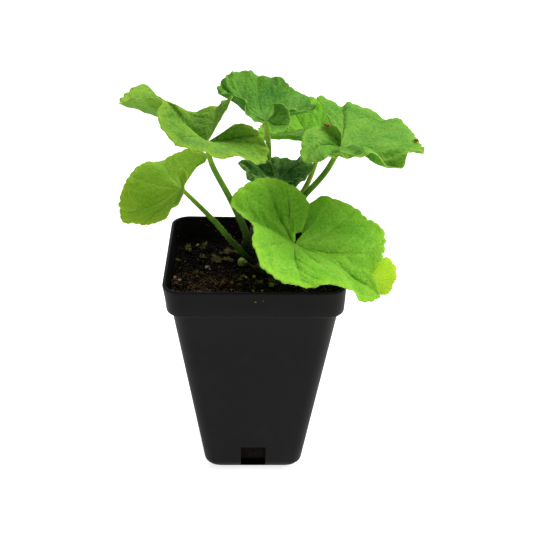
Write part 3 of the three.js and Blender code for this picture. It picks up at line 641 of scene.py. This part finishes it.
def blade_shape(leaf, columns, rows):
    """The blade's upper surface as a grid of points in millimetres from attach, with its normals, how far out
    each row lies, and the margin's length."""
    points = np.array([m[:3] for m in leaf["margin"]], float)
    stations = np.concatenate([[0], np.cumsum(np.linalg.norm(np.diff(points, axis=0), axis=1))])
    perimeter = stations[-1]
    stations /= perimeter
    ways = bends(leaf["margin"], points)
    heading = unit(ways)
    turns = np.arccos(np.clip((heading[1:] * heading[:-1]).sum(1), -1, 1))
    turns = np.concatenate([[0], np.cumsum(turns)])

    # Columns are spread evenly by turn at the stalk, and by length along the margin
    round_share = np.linspace(0, 1, columns + 1)[:, None] * np.ones((1, rows + 1))
    out = np.ones((columns + 1, 1)) * (np.linspace(0, 1, rows + 1) ** 0.85)[None, :]
    opened = 0.5 + (round_share - 0.5) * (1 - SINUS_OPENING * (1 - out))
    by_turn = np.interp(opened * turns[-1], turns, stations)
    share = by_turn + (opened - by_turn) * out
    margin = smooth_run(points, stations, share)
    ahead, behind = (smooth_run(points, stations, np.clip(share + gap, 0, 1)) for gap in (0.01, -0.01))
    reach = np.linalg.norm(margin, axis=-1)
    margin = margin + scallops(leaf, margin, unit(ahead - behind), round_share, out)
    out3 = out[..., None]
    surface = smooth_run(ways, stations, share) * 2 * out3 * (1 - out3) + margin * out3 * out3
    up = unit(np.cross(np.gradient(surface, axis=1), np.gradient(surface, axis=0)))
    lift = tissue_relief(leaf, round_share, out, reach, perimeter) + unevenness(leaf, surface, out)
    return surface + up * lift[..., None], up, out[0], perimeter


def add_blade(bm, leaf, rows=BLADE_ROWS):
    """Adds the blade, with the count of its veins as UV x and the way out from the stalk as UV y."""
    columns = MAIN_VEINS * leaf["teeth"] * COLUMNS_PER_TOOTH
    surface, up, out, perimeter = blade_shape(leaf, columns, rows)
    attach = Vector(leaf["attach"])
    faces = net(bm, columns, rows, lambda u, v: attach + Vector(surface[round(u * columns), round(v * rows)]))
    uv = bm.loops.layers.uv.verify()
    live = [face for face in faces if face.is_valid]
    for face in live:
        for loop in face.loops:
            place = loop[uv].uv
            place.x = vein_count(place.x, leaf) / MAIN_VEINS
            place.y = float(np.interp(place.y, np.linspace(0, 1, rows + 1), out))
    return live, surface, up, perimeter


# Each leaf's tones are set to how bright it shows, so besides its own colour they hold painted light and
# shade; f is darkened as painted shade under the other leaves
LEAF_COLOURS = {
    # face, deep, edge, vein of the upper side, then face and vein of the underside. edge is a painted
    # highlight: the lime glow of light through the margin
    "a": ("6c9e23", "50861c", "97bd2f", "a1c44d", "7eab31", "a7c463"),
    "b": ("9bcc25", "84b71e", "b7d933", "bddd58", "9ec43a", "c1dc72"),
    "c": ("549a24", "387c1a", "78b035", "8abc50", "669f2e", "93bc5c"),
    "d": ("70b314", "5ba00f", "90c824", "97cc39", "7cb424", "9dcc45"),
    "e": ("65a626", "4a8f1c", "90c034", "9cc850", "7cae34", "a2c65c"),
    "f": ("619b38", "306127", "8bc150", "8bbb62", "72a64b", "a3cf7b"),
    "g": ("88d029", "6eb722", "b1e538", "b3e354", "95cd3f", "b9e172"),
}
# The rim is painted pale lime: a painted highlight, the glow of light through the thin margin
LEAF_RIM_HIGHLIGHT = "b4dc3c"
# The folded lobe of leaf g gets a brighter, yellower copy of the tissue: painted light, for the light that
# shines through it from the right
FLAP_PAINTED_GLOW_COLOURS = ("cbeb20", "b7de1a", "dff339", "daf157", "bedf33", "d5e76e")
FLAP_LENGTH = 24.0
# The share of the light that shines through the tissue
THROUGH = {"a": 0.3, "b": 0.45, "c": 0.3, "d": 0.3, "e": 0.3, "f": 0.15, "g": 0.36, "flap": 0.55, "rim": 0.5}

chance = random.Random(11)
uniform = chance.uniform


def jitter(reach):
    return Vector([uniform(-reach, reach) for _ in range(3)])


def leaf_materials(name, colours, perimeter, length, through):
    """The tissue of the upper side and, with its veins standing out more, of the underside."""
    lobe = perimeter / MAIN_VEINS
    face, deep, edge, vein, under, under_vein = colours
    return [
        leaf_tissue(f"{name}_upper", face, deep, edge, vein, lobe, length, through),
        leaf_tissue(f"{name}_under", under, deep, edge, under_vein, lobe, length, through, relief=1.6),
    ]


def thicken(piece, name, thickness):
    solid = piece.modifiers.new(name, "SOLIDIFY")
    solid.thickness = thickness * MM
    return solid


def fringe(leaf, surface, up):
    """Where the short hairs of the margin stand, two at each point of it."""
    attach = Vector(leaf["attach"])
    hairs = []
    for i in range(1, len(surface) - 1):
        foot = Vector(surface[i, -1])
        for _ in range(2):
            outward = (foot - Vector(surface[i, -3])).normalized()
            direction = outward + Vector(up[i, -2]) * uniform(-0.5, 0.5) + jitter(0.4)
            hairs.append(aimed(attach + foot, direction, uniform(0.35, 0.75), MARGIN_HAIR_WIDTH))
    return hairs


def make_leaf(letter, leaf):
    """One blade, with its own tissue above, below and along the rim. Returns where its hairs stand."""
    name = f"geranium_leaf_{letter}"
    bm = bmesh.new()
    _, surface, up, perimeter = add_blade(bm, leaf)
    length = float(np.linalg.norm(surface[:, -1], axis=1).mean())
    materials = leaf_materials(name, LEAF_COLOURS[letter], perimeter, length, THROUGH[letter])
    # The rim's pale lime is a painted highlight
    rim = leaf_tissue(f"{name}_rim", LEAF_RIM_HIGHLIGHT, LEAF_RIM_HIGHLIGHT, LEAF_RIM_HIGHLIGHT, LEAF_RIM_HIGHLIGHT, 1.0, length, THROUGH["rim"])
    # The folded lobe takes its own tissue, painted lighter and yellower as painted light
    if "flap" in leaf:
        faces, _, _, perimeter = add_blade(bm, leaf["flap"], FLAP_ROWS)
        for face in faces:
            face.material_index = len(materials)
        through = THROUGH["flap"]
        materials += leaf_materials("geranium_leaf_lobe_painted_glow", FLAP_PAINTED_GLOW_COLOURS, perimeter, FLAP_LENGTH, through)
    materials.append(rim)
    piece = finish_piece(f"leaf_{letter}", bm, materials, f"blade_{letter}", closed=False)
    tissue = thicken(piece, "tissue", BLADE_THICKNESS)
    tissue.offset = 0
    tissue.material_offset = 1
    tissue.material_offset_rim = len(materials) - 1
    return fringe(leaf, surface, up)


rim_hairs = []
for letter, leaf in LEAVES.items():
    rim_hairs += make_leaf(letter, leaf)


# Stem and petioles


STALK_WIDTHS = {"a": 1.25, "b": 1.1, "c": 1.3, "d": 1.15, "e": 1.3, "f": 0.8, "g": 1.0}
STALK_STEPS = 60

stem_points = curve_points([Vector(p) for p in STEM_WAY], 40)


def outwards(compass):
    """The level way from the stem to a compass angle in degrees."""
    angle = radians(compass)
    return Vector((cos(angle), sin(angle), 0))


def stem_radius(share):
    tip = min(1.0, 2.2 * (1 - share) + 0.25)
    return STEM_RADIUS * (1 - 0.25 * share) * sqrt(tip)


def stem_point(height):
    return min(stem_points, key=lambda p: abs(p.z - height))


def knots(share, angle):
    """Old leaf scars ring the crown and make it lumpy."""
    return 1 + 0.07 * sin(38 * share + 2 * sin(angle)) + 0.05 * sin(3 * angle + 9 * share)


def make_crown():
    """The short stem, with folded young leaves at its growing tip."""
    bm = bmesh.new()
    rod(bm, stem_points, 28, stem_radius, knots)
    for compass, lean, length in ((200, 0.25, 5.0), (320, 0.3, 5.4), (80, 0.2, 4.4), (260, 0.5, 3.6)):
        direction = (outwards(compass) * lean + Vector((0, 0, 1))).normalized()
        bud = [stem_points[-1] + direction * (length * k / 8 - 1) for k in range(9)]
        rod(bm, bud, 10, lambda share: 1.35 * sin(pi * min(1, share * 0.9 + 0.1)) ** 0.7)
    finish_piece("crown", bm, [crown_green], "main_stem")


def make_stipules():
    """Papery stipules that hug the crown just above the mix."""
    bm = bmesh.new()
    for compass in range(15, 360, 41):
        base = stem_point(SOIL_LEVEL + 2.5 + compass % 5)
        outward = outwards(compass)
        sideways = Vector((-outward.y, outward.x, 0))
        size = 2.4 + compass % 7 * 0.2

        def place(u, v):
            away = STEM_RADIUS * 0.92 + 0.25 + 1.5 * v * v
            aside = (2 * u - 1) * (1 - v) ** 0.6 * size * 0.55
            return base + outward * away + sideways * aside + Vector((0, 0, v * size * 1.5))

        net(bm, 6, 8, place)
    stipules = finish_piece("stipules", bm, [dry_scale], closed=False)
    thicken(stipules, "papery", 0.2)


def make_stalk(letter, leaf):
    """One petiole, with a sheath round its foot. Returns where its hairs stand."""
    attach = Vector(leaf["attach"])
    height, compass = leaf["root"]
    start = stem_point(height)
    leaving = start + outwards(compass) * (STEM_RADIUS + 1.2) + Vector((0, 0, 3.5))
    ways = [Vector(p) for p in leaf["way"]]
    arrival = (attach - ways[-1]).normalized()
    points = curve_points([start, leaving, *ways, attach + arrival * 0.2], STALK_STEPS)

    def radius_at(share):
        sheath = 0.9 * exp(-share * 14)
        end = sqrt(max(0.0, 1 - ((share - 0.975) / 0.025) ** 2)) if share > 0.975 else 1.0
        return PETIOLE_RADIUS * STALK_WIDTHS[letter] * (1.15 - 0.4 * share + sheath) * max(end, 0.3)

    bm = bmesh.new()
    frames = rod(bm, points, 16, radius_at)
    skin = stalk_yellow if letter == "d" else stalk_green
    finish_piece(f"stalk_{letter}", bm, [skin], f"petiole_{letter}")
    length = sum((b - a).length for a, b in zip(points, points[1:]))
    hairs = []
    for _ in range(int(length * STALK_HAIRS_PER_MM)):
        i = chance.randrange(2, len(points) - 2)
        turn = uniform(0, 2 * pi)
        a, b = frames[i]
        outward = a * cos(turn) + b * sin(turn)
        along = (points[i + 1] - points[i]) * chance.random()
        foot = points[i] + along + outward * radius_at(i / STALK_STEPS) * 0.97
        direction = outward + jitter(1) * 0.3
        hairs.append(aimed(foot, direction, uniform(0.4, 0.8), STALK_HAIR_WIDTH))
    return hairs


make_crown()
make_stipules()
stalk_hairs = []
for letter, leaf in LEAVES.items():
    stalk_hairs += make_stalk(letter, leaf)


def spike(bm, foot=1.0, sides=3):
    """A cone that stands one unit high on the origin."""
    bmesh.ops.create_cone(bm, cap_ends=True, segments=sides, radius1=foot, radius2=0.05, depth=1.0,
                          matrix=Matrix.Translation((0, 0, 0.5)))


hair_seed = seed_mesh(spike)
for name, places in (("margin_hairs", rim_hairs), ("stalk_hairs", stalk_hairs)):
    strew(name, hair_seed, places, hair)


# Pot


def rounded_square(half, corner, fixed):
    """Points round a square with round corners, with columns on each side at plus and minus fixed."""
    straight = half - corner
    inner = min(fixed, straight * 0.6)
    outer = (straight + inner) / 2
    flats = [straight, outer, inner, inner / 2, 0, -inner / 2, -inner, -outer]
    ring = []
    for side in range(4):
        turn = Matrix.Rotation(side * pi / 2, 3, "Z")
        for i in range(CORNER_STEPS):
            angle = i / CORNER_STEPS * pi / 2
            x, y = straight + corner * cos(angle), straight + corner * sin(angle)
            ring.append(turn @ Vector((x, y, 0)))
        for x in flats:
            ring.append(turn @ Vector((x, half, 0)))
    ring.append(ring[0].copy())
    return ring


def wall_half(z):
    return (BODY_FOOT_WIDTH + (BODY_TOP_WIDTH - BODY_FOOT_WIDTH) * z / BAND_FOOT) / 2


def wall_corner(z):
    return FOOT_CORNER + (RIM_CORNER - LIP_WIDTH - FOOT_CORNER) * z / BAND_FOOT


def foot_rows(radius, floor, inset):
    """The rounding from the floor up into the wall, with one row at the sill of the drain notches."""
    sill = acos(1 - (NOTCH_SILL - floor) / radius)
    angles = [0, sill * 0.35, sill * 0.7, sill, (sill + 1.57) / 2, 1.4, pi / 2]
    rows = []
    for angle in angles:
        z = floor + radius * (1 - cos(angle))
        rows.append((wall_half(z) - inset - radius * (1 - sin(angle)), FOOT_CORNER - inset, z))
    return rows


def pot_rows():
    rows = [(0.0, 0.0, 0.0), *foot_rows(FOOT_ROUNDING, 0.0, 0.0)]
    for z in (NOTCH_TOP, 40, 62, 84, BAND_FOOT - 1.5):
        rows.append((wall_half(z), wall_corner(z), z))
    rim = RIM_WIDTH / 2
    rows.append((wall_half(BAND_FOOT) + 0.1, wall_corner(BAND_FOOT), BAND_FOOT - 0.5))
    band = [
        (LIP_WIDTH, BAND_FOOT), (1.3, BAND_FOOT + 0.1), (0.9, BAND_FOOT + 0.5), (0.7, BAND_FOOT + 1.2),
        (0.35, BAND_FOOT + 7.1), (0.1, POT_HEIGHT - 1.6), (0.05, POT_HEIGHT - 0.8), (0.25, POT_HEIGHT - 0.25),
        (0.6, POT_HEIGHT), (1.1, POT_HEIGHT), (1.5, POT_HEIGHT - 0.25), (LIP_WIDTH, POT_HEIGHT - 0.8),
    ]
    rows += [(rim - inside, RIM_CORNER - inside, z) for inside, z in band]
    step = BAND_FOOT + POT_WALL
    rows.append((rim - BAND_WALL, RIM_CORNER - BAND_WALL, step))
    rows.append((wall_half(step) - POT_WALL, wall_corner(step) - POT_WALL, step - 0.6))
    for z in (84, 62, 40, NOTCH_TOP):
        rows.append((wall_half(z) - POT_WALL, wall_corner(z) - POT_WALL, z))
    rows += foot_rows(FOOT_ROUNDING - POT_WALL, POT_FLOOR, POT_WALL)[::-1]
    rows.append((0.0, 0.0, POT_FLOOR))
    return rows


rows = pot_rows()
rings = [rounded_square(half, corner, NOTCH_HALF) for half, corner, _ in rows]
columns = len(rings[0]) - 1
last_row = len(rows) - 1


def pot_place(u, v):
    """The filled pot has spread a little: its rim leans out at the left, and stands higher at the back."""
    i, k = round(u * columns), round(v * last_row)
    point = rings[k][i] + Vector((0, 0, rows[k][2]))
    x, y = point.x * 2 / RIM_WIDTH, point.y * 2 / RIM_WIDTH
    near_rim = min(1.0, max(0.0, (point.z - LEAN_START) / LEAN_RISE))
    point.x -= near_rim * max(0.0, -x) ** 4 * (0.85 - 0.35 * y)
    point.z += near_rim * 0.8 * max(0.0, y) * (0.5 - point.x / RIM_WIDTH)
    return point


bm = bmesh.new()
net(bm, columns, last_row, pot_place)
bmesh.ops.recalc_face_normals(bm, faces=bm.faces)
in_notch = []
for face in bm.faces:
    centre = face.calc_center_median() / MM
    across, along = sorted((abs(centre.x), abs(centre.y)))
    if across < NOTCH_HALF and NOTCH_SILL < centre.z < NOTCH_TOP and along > 15:
        in_notch.append(face)
bmesh.ops.delete(bm, geom=in_notch, context="FACES")
for direction in ((1, 0), (0, 1), (-1, 0), (0, -1)):
    edges = []
    for edge in bm.edges:
        middle = (edge.verts[0].co + edge.verts[1].co) / 2
        if edge.is_boundary and middle.x * direction[0] + middle.y * direction[1] > 12 * MM:
            edges.append(edge)
    bmesh.ops.bridge_loops(bm, edges=edges)
finish_piece("nursery_pot", bm, [plastic], "pot", sharp=38)


# Potting mix


# Heaps of the mix: (x, y, radius, height)
LUMPS = [
    (-40, -24, 10, 3.2), (-42, -2, 9, 2.0), (-36, 24, 4, 2.2), (-27, 28, 3.5, 1.8), (-16, 18, 4.5, 2.4),
    (-11, 12, 3.6, 2.6), (-34, -14, 6, 1.6), (-18, -20, 5, 1.4), (8, -19, 3, 2), (18, -20, 3.6, 2.4),
    (30, 10, 5, 1.6), (22, 26, 4.5, 1.8), (2, 30, 5, 1.5),
]


def soil_height(x, y):
    z = SOIL_LEVEL - SOIL_SLOPE * y
    z += 0.5 * sin(x * 0.31 + 1.3) * cos(y * 0.27 - 0.4)
    z += 0.25 * sin(x * 0.83 - y * 0.61)
    for lump_x, lump_y, radius, height in LUMPS:
        away = hypot(x - lump_x, y - lump_y) / radius
        z += height * exp(-away * away)
    return z


def rough_height(x, y):
    z = soil_height(x, y)
    z += 0.9 * noise.noise(Vector((x, y, 0)) * 0.35)
    z += 0.7 * noise.noise(Vector((x, y, 5)) * 0.9)
    z += 0.35 * noise.noise(Vector((x, y, 9)) * 2.1)
    return z


TOP_ROWS = 70
MIX_COLUMNS = 280
inside = BAND_WALL + 0.1
side_rows = [(RIM_WIDTH / 2 - inside, RIM_CORNER - inside, 108.8)]
for wall_z, z in ((108, 107.9), (60, 60), (18, 18)):
    side_rows.append((wall_half(wall_z) - POT_WALL - 0.3, wall_corner(wall_z) - POT_WALL, z))
side_rows += [
    (wall_half(9) - POT_WALL - 0.6, FOOT_CORNER - POT_WALL, 9),
    (wall_half(3) - POT_WALL - 5, FOOT_CORNER - POT_WALL, 2.7),
    (0.0, 0.0, 2.6),
]


def square_point(share, half, corner):
    """The point at a share of the way round a rounded square, spread evenly along its edge."""
    if half == 0:
        return Vector((0, 0, 0))
    straight = half - corner
    side = 2 * straight + corner * pi / 2
    away = (share % 1) * 4 * side
    turn = Matrix.Rotation(int(away // side) * pi / 2, 3, "Z")
    rest = away % side
    if rest < corner * pi / 2:
        angle = rest / corner
        return turn @ Vector((straight + corner * cos(angle), straight + corner * sin(angle), 0))
    return turn @ Vector((straight - (rest - corner * pi / 2), half, 0))


def mix_place(u, v):
    row = round(v * (TOP_ROWS + len(side_rows)))
    if row <= TOP_ROWS:
        share = row / TOP_ROWS
        point = square_point(u, (RIM_WIDTH / 2 - inside) * share, (RIM_CORNER - inside) * share)
        point.z = rough_height(point.x, point.y)
        return point
    half, corner, z = side_rows[row - TOP_ROWS - 1]
    point = square_point(u, half, corner)
    point.z = z
    if half:
        point.z += 0.5 * noise.noise(point * 0.4)
    return point


bm = bmesh.new()
net(bm, MIX_COLUMNS, TOP_ROWS + len(side_rows), mix_place)
finish_piece("peat_fill", bm, [peat], "potting_mix")


def lump(bm):
    bmesh.ops.create_icosphere(bm, subdivisions=1, radius=0.5)
    for i, vert in enumerate(bm.verts):
        vert.co *= 1 + 0.35 * sin(i * 2.4)


def sliver(bm):
    bmesh.ops.create_cone(bm, cap_ends=True, segments=4, radius1=1.0, radius2=0.6, depth=1.0)
    lengthwise = [edge for edge in bm.edges if abs(edge.verts[0].co.z - edge.verts[1].co.z) > 0.5]
    bmesh.ops.subdivide_edges(bm, edges=lengthwise, cuts=3)
    for vert in bm.verts:
        vert.co.x += 1.8 * sin(3 * vert.co.z)


def leaflet(bm):
    spike(bm, foot=0.6, sides=4)
    for vert in bm.verts:
        vert.co.x *= 1.0 + 1.2 * sin(pi * vert.co.z)


def anywhere():
    """A random spot on the mix, clear of the crown."""
    while True:
        x, y = uniform(-BED_REACH, BED_REACH), uniform(-BED_REACH, BED_REACH)
        if hypot(x - 3, y) > STEM_RADIUS + 1.3:
            return x, y


def near(x, y, spread_x, spread_y):
    """A random spot round a point, kept on the mix."""
    x, y = chance.gauss(x, spread_x), chance.gauss(y, spread_y)
    return max(-BED_REACH, min(BED_REACH, x)), max(-BED_REACH, min(BED_REACH, y))


def tossed(x, y, sink, size, flat=1.0):
    """Where a lump goes that has dropped on the mix and sunk in by a share of its height."""
    turn = Matrix.Rotation(uniform(0, 6.28), 4, "Z")
    turn @= Matrix.Rotation(uniform(-0.7, 0.7), 4, "X")
    scale = Matrix.Diagonal((size * MM, size * uniform(0.6, 1.0) * MM, size * flat * MM, 1))
    centre = Vector((x, y, rough_height(x, y) + size * flat * (0.5 - sink)))
    return Matrix.Translation(centre * MM) @ turn @ scale


lump_seed, sliver_seed, leaflet_seed = seed_mesh(lump), seed_mesh(sliver), seed_mesh(leaflet)

places = []
for _ in range(CRUMBS):
    x, y = anywhere()
    places.append(tossed(x, y, uniform(0.2, 0.5), chance.choice((0.6, 0.8, 1.0, 1.3, 1.8, 2.4)), 0.8))
strew("peat_crumbs", lump_seed, places, crumb_peat)

# Fibres lie thickest in the front left corner, where the top has dried
places = []
for _ in range(FIBRES):
    x, y = anywhere() if chance.random() < 0.45 else near(-24, -22, 10, 9)
    flat_way = Vector((uniform(-1, 1), uniform(-1, 1), uniform(-0.15, 0.35)))
    length, width = uniform(2, 7), uniform(0.12, 0.28)
    places.append(aimed((x, y, rough_height(x, y) + 0.4), flat_way, length, width))
strew("peat_fibres", sliver_seed, places, fibre)

# Moss cushions: (x, y, spread, rosettes). A rosette is a star of short leaves round one shoot.
MOSS = [
    (-36, 22, 3.0, 6), (-27, 27, 3.0, 4), (-16, 15.5, 3.0, 9), (-13, 10, 2.4, 5), (-20.5, 10.5, 2.4, 5),
    (-10, 20, 2.4, 3), (-25, 12, 3.0, 3), (7.6, -20.7, 1.6, 3), (17.8, -20.6, 2.0, 5), (28, 12, 3.0, 5),
    (20, 28, 3.0, 5), (-6, -14, 2.0, 2), (-30, -6, 2.4, 3), (-42, 8, 1.5, 2), (2, -16, 2.4, 3),
    (26, -24, 2.4, 3),
]
LEAVES_A_ROSETTE = 16
places = []
for centre_x, centre_y, spread, rosettes in MOSS:
    for _ in range(rosettes):
        x, y = near(centre_x, centre_y, spread * 0.6, spread * 0.6)
        lean = Vector((uniform(-0.5, 0.5), uniform(-0.5, 0.5), 0))
        top = Vector((x, y, rough_height(x, y) + uniform(0.3, 1.4)))
        size = uniform(0.7, 1.3)
        for k in range(LEAVES_A_ROSETTE):
            turn = k * 2.4
            direction = lean + Vector((cos(turn), sin(turn), 0.25 + 0.07 * k))
            long = size * uniform(1.5, 2.3)
            places.append(aimed(top, direction, long, size * 0.42, uniform(0, 6)))
strew("moss", leaflet_seed, places, moss)

# Wood chips and feed beads: (x, y, size)
CHIPS = [
    (-25, 1.6, 2.8), (-23.5, 0.2, 1.6), (-41, -14.5, 2.2), (-38.5, -21, 2.6), (-12, -25, 1.4), (6, -30, 1.5),
    (33, -14, 1.8),
]
BEADS = [
    (-6.6, 6.5, 4.8), (-4.6, -9.7, 1.8), (-0.4, -8.5, 2.0), (-12, -17, 1.8), (8.4, -21.5, 2.6),
    (17.5, -21, 3.0), (20.5, -22, 2.2), (-1, -26, 1.6), (3.5, -25.5, 1.5), (26, -6, 2.1), (-31, 30, 2.0),
    (12, -16, 1.4),
]
chips = CHIPS + [(*anywhere(), uniform(0.3, 0.7)) for _ in range(FINE_CHIPS)]
strew("wood_chips", lump_seed, [tossed(x, y, 0.2, size, 0.5) for x, y, size in chips], chip)

bm = bmesh.new()
for x, y, size in BEADS:
    centre = Vector((x, y, rough_height(x, y) + size * 0.3)) * MM
    spot = Matrix.Translation(centre)
    made = bmesh.ops.create_icosphere(bm, subdivisions=3, radius=size / 2 * MM, matrix=spot)
    for vert in made["verts"]:
        vert.co += (vert.co - centre) * 0.25 * noise.noise(vert.co * 900)
finish_piece("feed_beads", bm, [bead_painted_lighter])

# Dry brown scraps stuck to leaves a and e: (place, length, width)
SCRAPS = [
    ((35.7, 6, 189.2), 4.0, 2.0), ((34.6, 6.6, 189.6), 2.4, 1.4), ((79.9, 2.2, 183.2), 2.6, 1.8),
    ((-61.6, 13.4, 205.2), 1.3, 0.8),
]
places = [aimed(place, (1, 0.3, -0.25), length, width) for place, length, width in SCRAPS]
strew("dry_scraps", lump_seed, places, scrap)

# The curled green seedling in front of the crown: an arch that stands in the mix
SEEDLING_X, SEEDLING_Y = -3.4, 5.2
arch = []
for k in range(17):
    angle = pi * (0.95 - 1.1 * k / 16)
    z = rough_height(SEEDLING_X, 5) + 0.2 + 2.6 * sin(angle)
    arch.append(Vector((SEEDLING_X + 1.9 * cos(angle), SEEDLING_Y - 0.05 * k, z)))
bm = bmesh.new()
rod(bm, arch, 12, lambda share: 0.75 - 0.25 * share)
finish_piece("seedling", bm, [seedling])


# Floor, light and camera


# A lit table of white opal acrylic, which shows next to no shadow
floor_material, tree = new_material("lit_white_opal_acrylic_table")
table = node(tree, "BsdfPrincipled", {
    "Base Color": linear("bcbcbc"), "Roughness": 0.7, "Specular IOR Level": 0.2,
    "Emission Color": linear("ffffff"), "Emission Strength": 0.8,
})
show(tree, table.outputs["BSDF"])
bm = bmesh.new()
bmesh.ops.create_grid(bm, x_segments=1, y_segments=1, size=6.0)
floor = placed("floor", finished_mesh("floor", bm, [floor_material]))

scene = bpy.context.scene
scene.view_settings.view_transform = "Standard"
world = bpy.data.worlds.new("studio")
world.use_nodes = True
tree = world.node_tree
tree.nodes.clear()
# The surroundings light the plant at less than half of the white that the camera sees behind it
ray = node(tree, "LightPath")
strength = ranged(tree, ray.outputs["Is Camera Ray"], 0.0, 1.0, 0.475, 1.0)
surroundings = node(tree, "Background", {"Color": linear("ffffff"), "Strength": strength})
node(tree, "OutputWorld", {"Surface": surroundings.outputs["Background"]})
scene.world = world

# Two broad softboxes, one high at the right and one high behind the plant
for name, energy, spread, travel in (
    ("right_softbox", 3.35, 40, (-0.9, 0.0, -1.0)),
    ("back_softbox", 2.2, 50, (0.0, -0.7, -1.0)),
):
    light = bpy.data.lights.new(name, "SUN")
    light.energy = energy
    light.angle = radians(spread)
    lamp = placed(name, light)
    lamp.rotation_euler = Vector(travel).to_track_quat("-Z", "Y").to_euler()

# The camera looks down from the front, turned a little to the right
pitch, yaw, roll = (radians(angle) for angle in (CAMERA_PITCH, CAMERA_YAW, CAMERA_ROLL))
forward = Vector((sin(yaw) * cos(pitch), cos(yaw) * cos(pitch), -sin(pitch)))
level = Vector((cos(yaw), -sin(yaw), 0))
upright = level.cross(forward)
right = level * cos(roll) + upright * sin(roll)
top = upright * cos(roll) - level * sin(roll)
camera = bpy.data.cameras.new("camera")
camera.lens = CAMERA_LENS
camera.sensor_width = 36.0
camera.clip_end = 20
eye = placed("camera", camera)
facing = Matrix((right, top, -forward)).transposed().to_4x4()
eye.matrix_world = Matrix.Translation(Vector(CAMERA_PLACE) * MM) @ facing
scene.camera = eye

bpy.context.view_layer.update()
